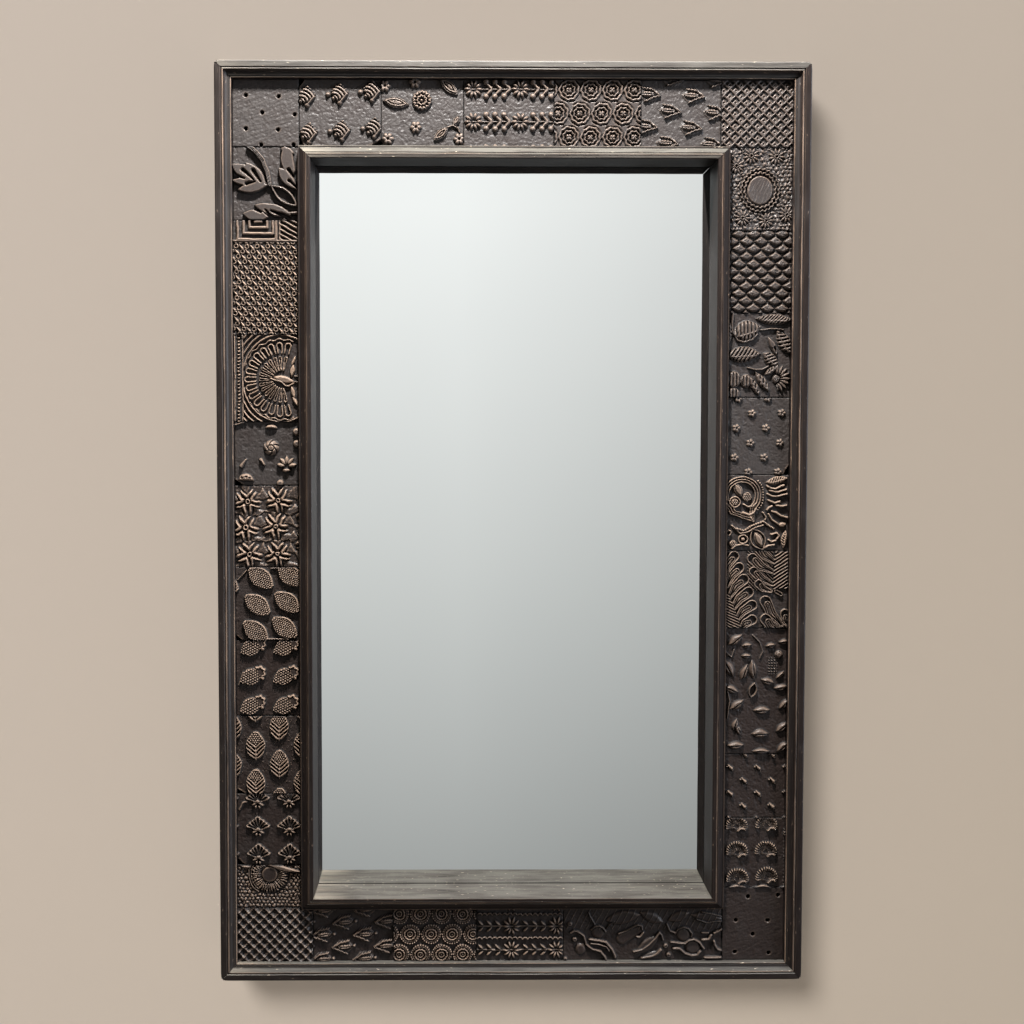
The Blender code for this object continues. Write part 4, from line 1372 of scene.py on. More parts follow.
def carved_heights(given, carving, face):
    """The pattern's height, the skin of the wood and the distance from the block's edge."""
    seeded = face.vector("ADD", face, given.out("Seed"))
    drift = noise(seeded, WARP_SCALE, 1.0).out("Color")
    drift = drift.vector("SUBTRACT", drift, (0.5, 0.5, 0.5))
    drift = drift.vector("MULTIPLY", drift, (2 * WARP_REACH, 2 * WARP_REACH, 0))
    raised = lower(carving.pattern(face.vector("ADD", face, drift)), given.out("Relief"))
    tooled = noise(seeded, TOOLED_SCALE, 3.0, 0.6) - 0.5
    leather = 0.3 - abs(noise(seeded, LEATHER_SCALE, 3.0, 0.55) - 0.5) * 2
    skin = tooled * TOOLED_HEIGHT + leather * LEATHER_HEIGHT * (1 - clamp(raised * 0.5))
    x, y = parts(face)
    half_across = given.out("Width") * (0.5 / MM)
    half_up = given.out("Height") * (0.5 / MM)
    edge = lower(half_across - abs(x), half_up - abs(y)) - tooled * RAGGED_EDGE
    rounding = 1 - clamp(edge / ARRIS)
    raised = raised - rounding * rounding * ARRIS_DROP
    for side, upper, across, up in carving.chips:
        run = (half_across - x * side) / across + (half_up - y * upper) / up
        chip = clamp((1.0 - run + tooled * 0.5) * CHIP_STEEPNESS)
        raised = raised - chip * CHIP_DEPTH
    return raised, skin, edge


def marked(shape, given, raised, edge):
    """Keeps where the tops are rubbed, where the hollows and the block's edge are darkened as grime and
    painted shade, and the block's tone, which is partly painted shade.
    """
    shape = stored(shape, "height", raised)
    read = shape.node("GeometryNodeInputNamedAttribute", {"data_type": "FLOAT"}, {"Name": "height"})
    sockets = {"Value": read, "Iterations": BLUR_STEPS}
    soft = shape.node("GeometryNodeBlurAttribute", {"data_type": "FLOAT"}, sockets)
    worn = given.out("Worn")
    crest = clamp((read - soft) * 2.4) * (0.12 + worn * 0.95) * clamp(edge * 0.5)
    top = clamp((read - given.out("Relief") + 1.3) * 0.9) * worn * 0.75
    shape = stored(shape, "wear", clamp(crest + top))
    # Hollows and a strip along the block's edge, darkened later as grime and painted shade in the recesses
    # and joints.
    shape = stored(shape, "hollow", clamp((soft - read) * 2.0 + clamp(1 - edge * 1.1)))
    # The block's tone: partly its own colour, partly painted shade that is paler along the top of the
    # frame.
    return stored(shape, "tone", given.out("Tone")), read


def skirted(shape, given):
    """Adds sides from the rim of a carved face down to the block's back, and a map over both."""
    rim = under(shape.node("GeometryNodeInputMeshEdgeNeighbors"), 1.5)
    shape = stored(shape, "sharp_edge", rim, "BOOLEAN", "EDGE")
    sockets = {"Mesh": shape, "Selection": rim, "Offset Scale": 0.0}
    skirt = shape.node("GeometryNodeExtrudeMesh", {"mode": "EDGES"}, sockets)
    at = skirt.node("GeometryNodeInputPosition")
    x, _, z = axes(at)
    shape = moved(skirt, joined(x, given.out("Rear"), z), skirt.out("Top"))
    across, behind, up = axes(at.vector("SUBTRACT", at, given.out("Face")))
    spread = FACE_MAP_SHARE + clamp(behind * 40 - 0.6) * SKIRT_MAP_SHARE
    u = across / given.out("Width") * spread + 0.5
    v = up / given.out("Height") * spread + 0.5
    return stored(shape, "OFBake", joined(u, v), "FLOAT2", "CORNER")


def carving_tree(name, carving, material):
    """A fine grid raised by the block's pattern."""
    tree = new_tree(name, CARVING_INPUTS)
    given = Wire(tree).node("NodeGroupInput")
    sizes = {
        "Size X": given.out("Width"),
        "Size Y": given.out("Height"),
        "Vertices X": given.out("Cells across"),
        "Vertices Y": given.out("Cells up"),
    }
    grid = given.node("GeometryNodeMeshGrid", None, sizes)
    here = given.node("GeometryNodeInputPosition")
    raised, skin, edge = carved_heights(given, carving, scaled(here, 1 / MM))
    shape, height = marked(grid, given, raised, edge)
    level = (given.out("Relief") - height - skin) * MM
    x, y = parts(here)
    place = joined(x, level, y)
    shape = moved(shape, place.vector("ADD", place, given.out("Face")))
    end_tree(skirted(smoothed(shape), given), material)
    return tree


def carved_block(name, carving, material, seed):
    low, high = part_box(name)
    width = high.x - low.x
    height = high.z - low.z
    tree = carving_tree(name, carving, material)
    holder = new_piece("carved_" + name, bpy.data.meshes.new(name))
    values = {
        "Width": width,
        "Height": height,
        "Cells across": round(width / (CELL * MM)) + 1,
        "Cells up": round(height / (CELL * MM)) + 1,
        "Relief": carving.relief,
        "Worn": carving.worn,
        "Tone": carving.tone,
        "Seed": SEED_STEP * seed,
        "Face": ((low.x + high.x) / 2, low.y, (low.z + high.z) / 2),
        "Rear": high.y,
    }
    close_mesh(grown_mesh(holder, tree, values))
    bpy.data.node_groups.remove(tree)
    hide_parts(name)
    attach(holder, "frame")


# Mouldings.


def arc(centre, radius, start, end, count):
    points = []
    for step in range(count + 1):
        angle = start + (end - start) * step / count
        points.append((centre[0] + radius * cos(angle), centre[1] + radius * sin(angle)))
    return points


def spread_points(points, front_limit):
    """Adds points along straight runs: close together near the front, sparse on the sides."""
    result = []
    for (x0, y0), (x1, y1) in zip(points, points[1:] + points[:1]):
        deep = min(y0, y1) > front_limit or max(y0, y1) > 3 * front_limit
        step = SIDE_STEP if deep else SECTION_STEP
        count = max(1, round(hypot(x1 - x0, y1 - y0) / step))
        for index in range(count):
            share = index / count
            result.append((x0 + (x1 - x0) * share, y0 + (y1 - y0) * share))
    return result


def outer_section(width, rear):
    groove_mid = BAND_WIDTH + GROOVE_WIDTH / 2
    bead_start = BAND_WIDTH + GROOVE_WIDTH
    bead_radius = BEAD_WIDTH / 2
    bead_centre = (bead_start + bead_radius, GROOVE_DEPTH / 2 + bead_radius / 2)
    cove_centre = (bead_start + BEAD_WIDTH + COVE_RADIUS, bead_centre[1])
    fillet = bead_centre[1] + COVE_RADIUS + COVE_STEP
    points = [(0.6, rear), (0, rear - 0.6), (0, BAND_ROUND + 2.5)]
    points += arc((BAND_ROUND, BAND_ROUND), BAND_ROUND, pi, 1.5 * pi, 5)
    points += [(BAND_WIDTH - 0.5, 0), (BAND_WIDTH, 0.4), (groove_mid, GROOVE_DEPTH)]
    points += arc(bead_centre, bead_radius, pi, 2 * pi, 7)
    points += arc(cove_centre, COVE_RADIUS, pi, 0.5 * pi, 12)[1:]
    points += [(cove_centre[0], fillet - 0.3), (cove_centre[0] + 0.4, fillet)]
    points += [(width - 0.5, fillet), (width, fillet + 0.5), (width, fillet + 4), (width, rear)]
    return spread_points(points, 9.0)


def inner_section(width, rear):
    strip = SHELF_FILLET + SHELF_WIDTH
    draft = width - INNER_WIDTH
    points = [(0, rear), (0, SHELF_DROP + 4), (0, SHELF_DROP + 0.5), (0.5, SHELF_DROP)]
    points += [(SHELF_FILLET, SHELF_DROP), (strip - STRIP_GROOVE - 0.4, SHELF_RISE + 0.2)]
    points += [(strip - STRIP_GROOVE, SHELF_RISE), (strip, SHELF_RISE + STRIP_GROOVE)]
    points += [(strip, STRIP_ROUND), (strip + 0.35, 0.3), (strip + STRIP_ROUND, 0)]
    points += [(strip + 2.4, 0), (strip + 2.8, 0.35), (strip + 3.2, 0)]
    points += arc((INNER_WIDTH - STRIP_ROUND, STRIP_ROUND), STRIP_ROUND, 1.5 * pi, 2 * pi, 5)
    lip = rear - REAR_CHAMFER
    points += [(INNER_WIDTH + draft * 0.07, 5.0), (width, lip - 0.3), (width, lip)]
    points.append((width - REAR_CHAMFER, rear))
    return spread_points(points, 9.0)


BAR_INPUTS = (
    ("Section", "NodeSocketGeometry"),
    ("Section points", "NodeSocketInt"),
    ("Rows", "NodeSocketInt"),
    ("Length", "NodeSocketFloat"),
    ("Corner", "NodeSocketVector"),
    ("Along", "NodeSocketVector"),
    ("Inward", "NodeSocketVector"),
    ("Waver", "NodeSocketFloat"),
    ("Tip", "NodeSocketFloat"),
    ("Dust", "NodeSocketFloat"),
)


def bar_tree(material):
    """One mitred bar: the holder's section repeated along its length, wavering a little."""
    tree = new_tree("moulding_bar", BAR_INPUTS)
    given = Wire(tree).node("NodeGroupInput")
    rows = given.out("Rows")
    columns = given.out("Section points")
    sizes = {"Vertices X": columns + 1, "Vertices Y": rows}
    grid = given.node("GeometryNodeMeshGrid", None, sizes)
    index = given.node("GeometryNodeInputIndex")
    column = (index / rows + 0.0001).math("FLOOR")
    share = (index - column * rows) / (rows - 1)
    at = given.node("GeometryNodeInputPosition")
    settings = {"data_type": "FLOAT_VECTOR", "domain": "POINT"}
    wrapped = column.math("FLOORED_MODULO", column, columns)
    sockets = {"Geometry": given.out("Section"), "Value": at, "Index": wrapped}
    inward, depth, bulge = axes(given.node("GeometryNodeSampleIndex", settings, sockets))
    length = given.out("Length")
    begin = inward + MITRE_GAP * MM
    run = begin + (length - begin * 2) * share
    from_end = lower(run, length - run)
    tip = clamp(1 - from_end / (TIP_ROUND * MM)) * clamp(1 - inward / (TIP_ROUND * MM))
    waver = given.out("Waver")
    lead = given.out("Corner")
    lead_x, _, lead_z = axes(lead)
    slow = joined(run * 14, lead_x * 9 + lead_z * 7, inward * 30)
    sway = noise(slow, 1.0, 2.0) - 0.5
    sink = noise(slow.vector("ADD", slow, (31, 7, 3)), 1.0, 2.0) - 0.5
    inside = clamp(inward * 300) * clamp((0.055 - depth) * 60)
    inward_now = inward + sway * waver * inside + tip * tip * given.out("Tip")
    depth_now = depth + sink * waver * 0.6 * clamp((0.02 - depth) * 100)
    place = lead.vector("ADD", lead, scaled(given.out("Along"), run))
    place = place.vector("ADD", place, scaled(given.out("Inward"), inward_now))
    place = place.vector("ADD", place, joined(y=depth_now))
    shape = stored(grid, "grain", joined(run, inward, depth), "FLOAT_VECTOR")
    margin = (1 - BAR_MAP_SHARE) / 2
    spot = joined(share * BAR_MAP_SHARE + margin, column / columns * BAR_MAP_SHARE + margin)
    shape = stored(shape, "OFBake", spot, "FLOAT2", "CORNER")
    shape = stored(shape, "bulge", bulge * (1 / MM))
    shape = stored(shape, "dust", given.out("Dust"))
    end_tree(smoothed(moved(shape, place)), material)
    return tree


def convexity(points, rubbed, rear):
    """How far each point of a closed section stands out from the two beside it.

    Only the arrises in the rubbed stretches keep that in full, and the rear edge is set as a deep groove,
    so that it is painted fully dark as the shade in the gap behind it.
    """
    before = points[-1:] + points[:-1]
    after = points[1:] + points[:1]
    area = sum(x * next_y - next_x * y for (x, y), (next_x, next_y) in zip(points, after))
    bulges = []
    for (x0, y0), (x, y), (x1, y1) in zip(before, points, after):
        out = (x - (x0 + x1) / 2) * (y1 - y0) - (y - (y0 + y1) / 2) * (x1 - x0)
        bulge = out / hypot(x1 - x0, y1 - y0) * (1 if area > 0 else -1)
        shares = [share for start, end, share in rubbed if start < x < end]
        if y > rear - REAR_CHAMFER - 0.1:
            bulge = REAR_PAINTED_SHADE
        elif bulge > 0:
            bulge *= shares[0] if shares else ELSEWHERE_RUBBED
        bulges.append(bulge)
    return bulges


# Each side of the frame: the way along its bars, and the way in from its outer edge.
SIDES = {
    "top": ((1, 0, 0), (0, 0, -1)),
    "bottom": ((1, 0, 0), (0, 0, 1)),
    "left": ((0, 0, 1), (1, 0, 0)),
    "right": ((0, 0, 1), (-1, 0, 0)),
}

# Each kind of moulding: its section, how far it wavers and how far its tips are rounded, in
# millimetres, and how rubbed and dusty each of its sides is.
Moulding = namedtuple("Moulding", "section waver tip rubbed dust")

MOULDINGS = {
    "outer": Moulding(outer_section, 1.3, 3.4, OUTER_RUBBED, OUTER_DUST),
    "inner": Moulding(inner_section, 0.8, 0.6, INNER_RUBBED, INNER_DUST),
}


def moulding(kind, side, tree):
    name = f"{kind}_moulding_{side}"
    make = MOULDINGS[kind]
    low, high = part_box(name)
    along, inward = Vector(SIDES[side][0]), Vector(SIDES[side][1])
    across = abs(inward.dot(high - low)) / MM
    rear = (high.y - low.y) / MM
    points = make.section(across, rear)
    bulges = convexity(points, make.rubbed[side], rear)
    section = bpy.data.meshes.new(name)
    section.from_pydata([(x * MM, y * MM, z * MM) for (x, y), z in zip(points, bulges)], [], [])
    holder = new_piece("waxed_" + name, section)
    corner = Vector((low.x, low.y, low.z))
    if side == "top":
        corner.z = high.z
    if side == "right":
        corner.x = high.x
    length = abs(along.dot(high - low))
    gap = MITRE_GAP * MM
    corner -= along * gap
    values = {
        "Section points": len(points),
        "Rows": round(length / (BAR_STEP * MM)) + 1,
        "Length": length + 2 * gap,
        "Corner": corner,
        "Along": along,
        "Inward": inward,
        "Waver": make.waver * MM,
        "Tip": make.tip * MM,
        "Dust": make.dust[side],
    }
    close_mesh(grown_mesh(holder, tree, values), WELD * MM)
    holder.data.set_sharp_from_angle(angle=radians(SHARP_FROM))
    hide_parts(name)
    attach(holder, "frame")


# Materials.


def new_material(name):
    material = bpy.data.materials.new(name)
    material.use_nodes = True
    material.node_tree.nodes.clear()
    return material, Wire(material.node_tree)


def end_material(start, shader):
    start.node("ShaderNodeOutputMaterial", None, {"Surface": shader})


def attribute(start, name):
    return start.node("ShaderNodeAttribute", {"attribute_name": name})


def object_place(start):
    return start.node("ShaderNodeTexCoord").out("Object")


def bump(height, strength, distance):
    sockets = {"Height": height, "Strength": strength, "Distance": distance}
    return height.node("ShaderNodeBump", None, sockets)


def finished(material, start, sockets):
    """Ends a material in one Principled shader with these sockets."""
    end_material(start, start.node("ShaderNodeBsdfPrincipled", None, sockets))
    return material


def streaked(at, stretch, detail=2.0, roughness=0.5):
    """Noise drawn out along the grain: stretch holds its scale on each axis."""
    return noise(at.vector("MULTIPLY", at, stretch), 1.0, detail, roughness)


def rising(start):
    """How far a surface faces up, from -1 to 1."""
    return axes(start.node("ShaderNodeNewGeometry").out("Normal"))[2]


DARK_WOOD = (0.011, 0.0077, 0.0067, 1)
BROWN_WOOD = (0.030, 0.0193, 0.0160, 1)
GREY_WOOD = (0.049, 0.0420, 0.0395, 1)
WORN_WOOD = (0.35, 0.242, 0.172, 1)
DUST = (0.124, 0.116, 0.101, 1)
CREAM = (0.52, 0.45, 0.35, 1)
GRIME_AND_SHADE = (0.005, 0.0040, 0.0037, 1)
SILVER_DULL = (0.90, 0.915, 0.91, 1)
SILVER_CLEAR = (0.93, 0.945, 0.935, 1)
STEEL = (0.62, 0.60, 0.56, 1)
TARNISH = (0.36, 0.31, 0.25, 1)
SAWN_LIGHT = (0.33, 0.23, 0.14, 1)
SAWN_DARK = (0.16, 0.10, 0.06, 1)
PLY_LIGHT = (0.46, 0.33, 0.20, 1)
PLY_DARK = (0.27, 0.17, 0.09, 1)
CARD_LIGHT = (0.42, 0.32, 0.22, 1)
CARD_DARK = (0.33, 0.25, 0.17, 1)
WALL_PALE = (0.56, 0.484, 0.418, 1)
WALL_SHADED = (0.43, 0.366, 0.298, 1)
FLOOR_PALE = (0.66, 0.61, 0.55, 1)
FLOOR_SHADED = (0.60, 0.55, 0.49, 1)

GRAIN_DEPTH = 0.4 * MM

# Timbers of the back: light and dark colour, scale of the grain on each axis, and the nodes.
STILES = ("carrier_stile_left", "carrier_stile_right")
RAILS = ("carrier_rail_top", "carrier_rail_bottom")
SAWN_TIMBERS = {
    "sawn_upright": (SAWN_LIGHT, SAWN_DARK, (420, 420, 14), STILES),
    "sawn_level": (SAWN_LIGHT, SAWN_DARK, (14, 420, 420), RAILS),
    "board_ply": (PLY_LIGHT, PLY_DARK, (160, 160, 7), ("back_board",)),
    "grey_card": (CARD_LIGHT, CARD_DARK, (700, 700, 700), ("packing_card",)),
}


def block_wood():
    """Old carved wood: dark in its hollows, as grime and painted shade; rubbed pale on its crests, and
    paler still where they face up, which is a painted highlight from the lamp above.
    """
    material, start = new_material("block_wood")
    at = object_place(start)
    blotch = noise(at, 38.0, 3.0)
    fibre = streaked(at, (900, 300, 260), 3.0, 0.6)
    speck = noise(at, 1500.0, 2.0, 0.6)
    wear = attribute(start, "wear").out("Fac")
    hollow = attribute(start, "hollow").out("Fac")
    tone = attribute(start, "tone").out("Fac")
    # Partly painted shade: the tone makes the top blocks greyer and paler and the lower ones browner and
    # darker, as the light falls off down the frame.
    wood = mixed(GREY_WOOD, BROWN_WOOD, clamp(tone + (blotch - 0.5) * 1.2))
    wood = mixed(wood, DARK_WOOD, clamp((fibre - 0.35) * 1.1))
    # Painted highlight: rubbed crests that face up, towards the lamp above, are made paler still.
    rubbed = wear * (0.5 + clamp(rising(start) * 1.6 + 0.25) * 0.9)
    worn = clamp(rubbed * (0.55 + speck * 0.9) * (0.55 + blotch * 0.9))
    colour = mixed(wood, WORN_WOOD, worn * 0.92)
    # Grime and painted shade: the hollows and a strip along the block's edge are darkened to near black.
    colour = mixed(colour, GRIME_AND_SHADE, clamp(hollow) * 0.88)
    rough = 0.44 + (fibre - 0.5) * 0.22 + worn * 0.16 + hollow * 0.4
    sockets = {
        "Base Color": colour,
        "Roughness": clamp(rough, 0.2, 0.95),
        "Specular IOR Level": 0.6,
        "Normal": bump(fibre * 0.6 + speck * 0.4, 0.4, GRAIN_DEPTH),
    }
    return finished(material, start, sockets)


def frame_wood(name, specular, gloss):
    """Waxed moulding: rubbed through on its arrises, darkened in its grooves as grime and painted shade,
    painted dark along its rear edge as shadow, dusty where it faces up.
    """
    material, start = new_material(name)
    grain = attribute(start, "grain").out("Vector")
    bulge = attribute(start, "bulge").out("Fac")
    dust = attribute(start, "dust").out("Fac")
    run, inward, depth = axes(grain)
    rise = rising(start)
    streak = streaked(grain, (28, 700, 420), 4.0, 0.62)
    blotch = noise(grain, 22.0, 3.0)
    speck = noise(grain, 1300.0, 2.0, 0.6)
    wood = mixed(DARK_WOOD, BROWN_WOOD, clamp((streak - 0.3) * 1.3))
    wood = mixed(wood, GREY_WOOD, clamp((blotch - 0.56) * 1.4))
    edge = clamp(bulge * 11.0 - 0.1)
    rubbed = streaked(grain, (9, 60, 60), 4.0, 0.7)
    worn = clamp(edge * clamp((rubbed - 0.36) * 4.0) * (0.5 + speck))
    nick = clamp((streaked(grain, (160, 500, 500), 1.0) - 0.71) * 16)
    scratch = clamp((streaked(grain, (60, 2200, 900), 1.0) - 0.745) * 14)
    colour = mixed(wood, WORN_WOOD, clamp(worn * 0.75 + nick * 0.4 + scratch * 0.3))
    outer_face = clamp(1 - inward * 900) * clamp(depth * 250 - 0.8)
    settled = clamp(rise * 2.6 - 0.7) + clamp(dust) * clamp(rise * 3 + 1)
    settled = settled * (1 - outer_face * 0.68)
    patch = streaked(grain, (16, 200, 75), 3.0, 0.6)
    uneven = 0.74 + (patch - 0.5) * 2.3 + (speck - 0.5) * 0.6 + (streak - 0.5) * 1.2
    colour = mixed(colour, DUST, clamp(settled * uneven))
    colour = mixed(colour, CREAM, clamp(settled * (nick + scratch) * 0.9))
    end = clamp(1 - (run - inward) * 24) * clamp(settled) * clamp(rubbed * 3 - 1.0)
    colour = mixed(colour, CREAM, end * 0.45)
    # Grime and painted shade: grooves are darkened by how hollow they are, and the rear edge fully, as the
    # shadow in the gap behind it.
    grime_and_shade = clamp(bulge * -9.0 - 0.2)
    rough = gloss + (streak - 0.5) * 0.2 + (blotch - 0.5) * 0.14
    rough = rough + worn * 0.2 + settled * 0.25 + grime_and_shade * 0.5
    sockets = {
        "Base Color": mixed(colour, GRIME_AND_SHADE, grime_and_shade),
        "Roughness": clamp(rough, 0.18, 0.95),
        "Specular IOR Level": specular,
        "Normal": bump(streak * 0.7 + speck * 0.15 - nick * 0.8, 0.45, GRAIN_DEPTH),
    }
    return finished(material, start, sockets)


def silvered_glass():
    material, start = new_material("silvered_glass")
    haze = noise(object_place(start), 6.0, 2.0)
    colour = mixed(SILVER_DULL, SILVER_CLEAR, haze)
    return finished(material, start, {"Base Color": colour, "Metallic": 1.0, "Roughness": 0.0})


def sawn_wood(name, light, dark, along):
    """Plain sawn timber; along holds the texture scale on each axis, low along the grain."""
    material, start = new_material(name)
    at = object_place(start)
    grain = at.vector("MULTIPLY", at, along)
    streak = noise(grain, 1.0, 5.0, 0.6)
    blotch = noise(at, 9.0, 3.0)
    fleck = streaked(grain, (3, 3, 3), 2.0)
    colour = mixed(dark, light, clamp(streak * 1.5 - 0.25))
    sockets = {
        "Base Color": mixed(colour, dark, clamp((blotch - 0.5) * 1.4)),
        "Roughness": clamp(0.68 + (fleck - 0.5) * 0.3, 0.3, 1.0),
        "Normal": bump(streak + fleck * 0.4, 0.4, GRAIN_DEPTH),
    }
    return finished(material, start, sockets)


def plated_steel():
    material, start = new_material("plated_steel")
    at = object_place(start)
    brushed = streaked(at, (900, 900, 120), 3.0)
    tarnish = noise(at, 140.0, 3.0)
    sockets = {
        "Base Color": mixed(STEEL, TARNISH, clamp((tarnish - 0.5) * 2)),
        "Metallic": 1.0,
        "Roughness": clamp(0.28 + brushed * 0.2 + (tarnish - 0.5) * 0.3, 0.15, 0.8),
    }
    return finished(material, start, sockets)


def painted_wall():
    """Pale wall seen from the front only, so that the back of the mirror shows from behind. It holds
    painted shade towards the lower right, and to the camera it partly glows by itself as painted light.
    """
    material, start = new_material("painted_wall")
    at = object_place(start)
    x, _, z = axes(at)
    # Painted shade: the wall's colour darkens towards the lower right.
    share = clamp(0.5 + x * 0.42 - z * 0.42)
    mottle = noise(at, 3.0, 3.0) * 0.04
    colour = mixed(WALL_PALE, WALL_SHADED, clamp(share + mottle))
    paint = start.node("ShaderNodeBsdfDiffuse", None, {"Color": colour})
    # Painted light: to the camera, part of the wall's look is its own glow, not lamp light.
    glow = start.node("ShaderNodeEmission", None, {"Color": colour, "Strength": 1.0})
    seen = start.node("ShaderNodeLightPath").out("Is Camera Ray")
    lit = start.node("ShaderNodeMixShader", None, {0: seen * (1 - WALL_LIT_SHARE), 1: paint, 2: glow})
    clear = start.node("ShaderNodeBsdfTransparent")
    behind = start.node("ShaderNodeNewGeometry").out("Backfacing")
    end_material(start, start.node("ShaderNodeMixShader", None, {0: behind, 1: lit, 2: clear}))
    return material


def painted_floor():
    material, start = new_material("painted_floor")
    colour = mixed(FLOOR_SHADED, FLOOR_PALE, noise(object_place(start), 4.0, 3.0))
    return finished(material, start, {"Base Color": colour, "Roughness": 0.8})


# Stage, light and camera.


def flat_sheet(name, corners, material):
    mesh = bpy.data.meshes.new(name)
    mesh.from_pydata(corners, [], [(0, 1, 2, 3)])
    mesh.materials.append(material)
    sheet = new_piece(name, mesh)
    return sheet


def set_stage():
    """The wall that the mirror hangs on, and a floor far below it."""
    reach = WALL_REACH
    wall_y = CAD_HIGH.y + WALL_GAP
    floor_z = CAD_LOW.z - FLOOR_DROP
    around = ((-1, -1), (1, -1), (1, 1), (-1, 1))
    wall_corners = [(x * reach, wall_y, reach if up > 0 else floor_z) for x, up in around]
    floor_corners = [(x * reach, y * reach, floor_z) for x, y in around]
    wall = flat_sheet("wall", wall_corners, painted_wall())
    wall.visible_shadow = False
    floor = flat_sheet("floor", floor_corners, painted_floor())
    floor.visible_glossy = False
    return wall, floor


def set_world():
    """A pale room: the glass shows its glow, and the wood gets its soft light."""
    world = bpy.data.worlds.new("room")
    bpy.context.scene.world = world
    world.use_nodes = True
    world.node_tree.nodes.clear()
    start = Wire(world.node_tree)
    across, _, rise = axes(start.node("ShaderNodeTexCoord").out("Generated"))
    ramp = start.node("ShaderNodeValToRGB", {"stops": ROOM_GLOW}, {"Fac": rise * 0.5 + 0.5})
    fade = clamp(1 - across * ROOM_FADE)
    shine = start.node("ShaderNodeBackground", None, {"Color": ramp, "Strength": fade})
    level = AMBIENT_BELOW + clamp(rise * 0.8 + 0.35) * (AMBIENT_ABOVE - AMBIENT_BELOW)
    soft = start.node("ShaderNodeBackground", None, {"Color": AMBIENT_COLOUR, "Strength": level})
    pale = start.node("ShaderNodeBackground", None, {"Color": BACKDROP_COLOUR, "Strength": 1.0})
    path = start.node("ShaderNodeLightPath")
    seen = start.node("ShaderNodeMixShader", None, {0: path.out("Is Singular Ray"), 1: soft, 2: shine})
    seen = start.node("ShaderNodeMixShader", None, {0: path.out("Is Camera Ray"), 1: seen, 2: pale})
    start.node("ShaderNodeOutputWorld", None, {"Surface": seen})


def add_lamp(name, data, place, aim, receivers):
    """A lamp at a place, turned to its aim, which lights what the receivers say."""
    lamp = bpy.data.objects.new(name, data)
    lamp.location = place
    lamp.rotation_euler = (Vector(aim) - Vector(place)).to_track_quat("-Z", "Y").to_euler()
    lamp.light_linking.receiver_collection = receivers
    bpy.context.scene.collection.objects.link(lamp)


def stage_set(name, sheets, state):
    """The wall and floor as a set that a lamp lights alone, or leaves out."""
    sheet_set = bpy.data.collections.new(name)
    for sheet in sheets:
        sheet_set.objects.link(sheet)
    for member in sheet_set.collection_objects:
        member.light_linking.link_state = state
    return sheet_set


def set_light(sheets):
    """A close key lamp above, a pale window at the right, and even lamps for the wall and the back.

    The lamp for the back shines through the wall, which throws no shadow.
    """
    off_stage = stage_set("all_but_stage", sheets, "EXCLUDE")
    on_stage = stage_set("stage_alone", sheets, "INCLUDE")
    key = bpy.data.lights.new("key", "AREA")
    key.shape = "DISK"
    key.size = KEY_SIZE
    key.energy = KEY_POWER
    key.color = KEY_COLOUR
    add_lamp("key", key, KEY_PLACE, KEY_AIM, off_stage)
    window = bpy.data.lights.new("window", "AREA")
    window.shape = "RECTANGLE"
    window.size, window.size_y = WINDOW_SIZE
    window.energy = WINDOW_POWER
    window.color = WINDOW_COLOUR
    add_lamp("window", window, WINDOW_PLACE, WINDOW_AIM, off_stage)
    even_lamps = (
        ("wall_lamp", WALL_LAMP_FROM, WALL_LAMP_SPREAD, WALL_LAMP_STRENGTH, on_stage),
        ("back_lamp", BACK_LAMP_FROM, BACK_LAMP_SPREAD, BACK_LAMP_STRENGTH, off_stage),
    )
    for name, place, spread, strength, receivers in even_lamps:
        lamp = bpy.data.lights.new(name, "SUN")
        lamp.energy = strength
        lamp.angle = radians(spread)
        add_lamp(name, lamp, place, (0, 0, 0), receivers)


def set_camera():
    data = bpy.data.cameras.new("camera")
    data.sensor_width = CAMERA_SENSOR
    data.lens = CAMERA_LENS
    data.shift_x = CAMERA_SHIFT
    camera = bpy.data.objects.new("camera", data)
    aim = (
        Matrix.Rotation(radians(CAMERA_YAW), 4, "Z")
        @ Matrix.Rotation(radians(CAMERA_PITCH), 4, "X")
        @ Matrix.Rotation(radians(CAMERA_ROLL), 4, "Y")
        @ Matrix.Rotation(radians(90), 4, "X")
    )
    camera.matrix_world = Matrix.Translation(CAMERA_PLACE) @ aim
    bpy.context.scene.collection.objects.link(camera)
    bpy.context.scene.camera = camera


SCREW_INPUTS = (
    ("Places", "NodeSocketGeometry"),
    ("Radius", "NodeSocketFloat"),
    ("Crown", "NodeSocketFloat"),
    ("Slot", "NodeSocketFloat"),
)


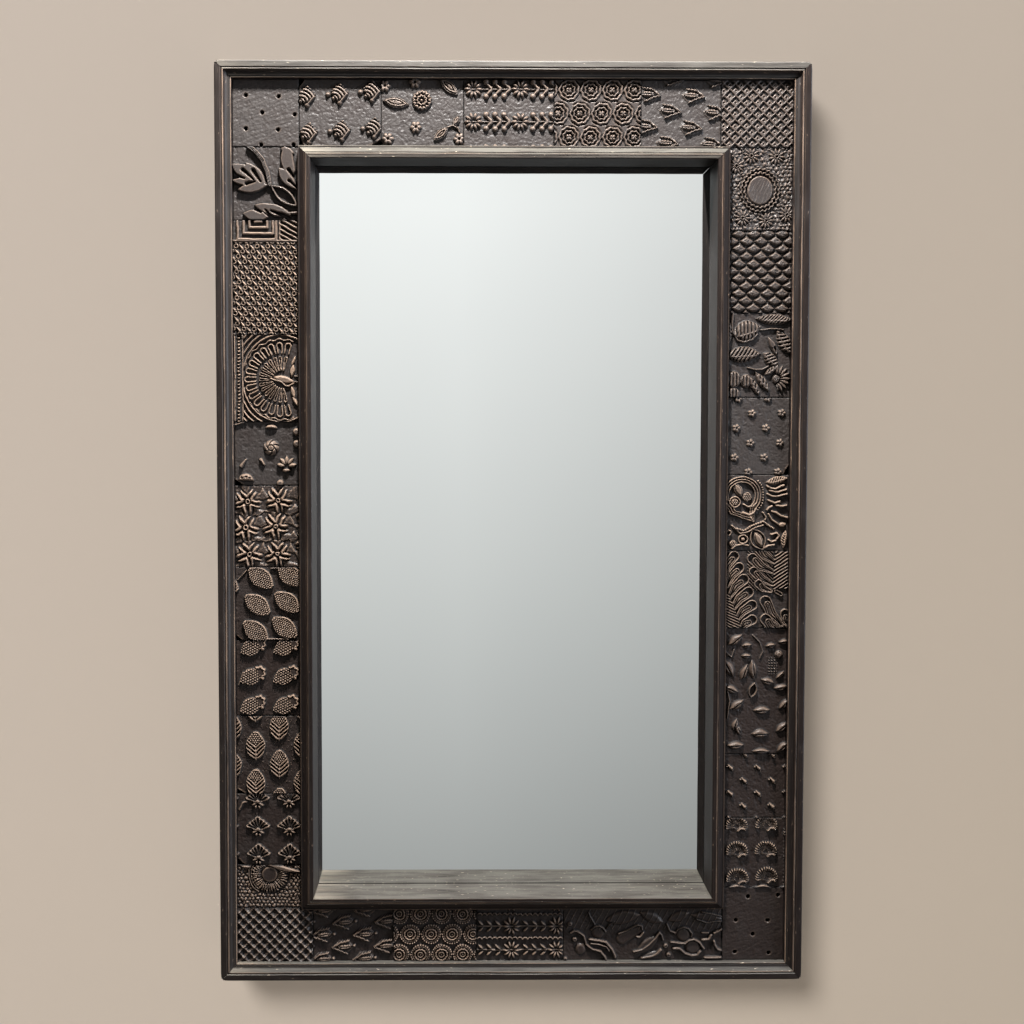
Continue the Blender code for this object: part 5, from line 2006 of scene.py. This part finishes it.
def screw_tree(material):
    """Slotted round heads on the given places, each turned its own way."""
    tree = new_tree("board_screws", SCREW_INPUTS)
    given = Wire(tree).node("NodeGroupInput")
    radius = given.out("Radius")
    crown = radius * given.out("Crown")
    ball = {"Segments": SCREW_SEGMENTS, "Rings": SCREW_RINGS, "Radius": radius}
    dome = given.node("GeometryNodeMeshUVSphere", None, ball)
    flat = joined(1.0, given.out("Crown"), 1.0)
    dome = dome.node("GeometryNodeTransform", None, {"Geometry": dome, "Scale": flat})
    slot = given.node("GeometryNodeMeshCube", None, {"Size": joined(radius * 3, crown, given.out("Slot"))})
    slot = slot.node("GeometryNodeTransform", None, {"Geometry": slot, "Translation": joined(y=crown)})
    sockets = {"Mesh 1": dome, "Mesh 2": slot}
    head = dome.node("GeometryNodeMeshBoolean", {"operation": "DIFFERENCE"}, sockets)
    sockets = {"Max": (0, pi, 0), "Seed": SCREW_SEED}
    spin = given.node("FunctionNodeRandomValue", {"data_type": "FLOAT_VECTOR"}, sockets)
    sockets = {"Points": given.out("Places"), "Instance": head, "Rotation": spin}
    end_tree(given.node("GeometryNodeInstanceOnPoints", None, sockets), material)
    return tree


def board_screws(material):
    """Screws set round the edge of the back board."""
    low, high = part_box("back_board")
    inset = SCREW_INSET * MM
    places = []
    for column in range(SCREWS_ACROSS):
        for row in range(SCREWS_UP):
            if column in (0, SCREWS_ACROSS - 1) or row in (0, SCREWS_UP - 1):
                across = low.x + inset + (high.x - low.x - 2 * inset) * column / (SCREWS_ACROSS - 1)
                up = low.z + inset + (high.z - low.z - 2 * inset) * row / (SCREWS_UP - 1)
                places.append((across, high.y, up))
    spots = bpy.data.meshes.new("board_screws")
    spots.from_pydata(places, [], [])
    holder = new_piece("board_screws", spots)
    values = {"Radius": SCREW_RADIUS * MM, "Crown": SCREW_CROWN, "Slot": SCREW_SLOT * MM}
    grown_mesh(holder, screw_tree(material), values)
    holder.data.set_sharp_from_angle(angle=radians(SCREW_SHARP_FROM))
    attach(holder, "frame")


def dress_node(name, material):
    """Gives a CAD node that stays in view its finished material."""
    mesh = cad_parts[name].data
    mesh.materials.clear()
    mesh.materials.append(material)


def main():
    bpy.context.scene.view_settings.view_transform = "Standard"
    set_camera()
    set_world()
    set_light(set_stage())
    wood = block_wood()
    for index, (name, carving) in enumerate(CARVINGS.items()):
        carved_block(name, carving, wood, index + 1)
    outer_tree = bar_tree(frame_wood("outer_wood", specular=0.55, gloss=0.36))
    waxed_tree = bar_tree(frame_wood("inner_wood_waxed", specular=0.35, gloss=0.46))
    dull_tree = bar_tree(frame_wood("inner_wood_dull", specular=0.18, gloss=0.52))
    for side in SIDES:
        moulding("outer", side, outer_tree)
        moulding("inner", side, waxed_tree if side == "left" else dull_tree)
    dress_node("mirror_glass", silvered_glass())
    for name, (light, dark, along, nodes) in SAWN_TIMBERS.items():
        timber = sawn_wood(name, light, dark, along)
        for node in nodes:
            dress_node(node, timber)
    steel = plated_steel()
    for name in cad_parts:
        if name.startswith("hanger"):
            dress_node(name, steel)
    board_screws(steel)


main()
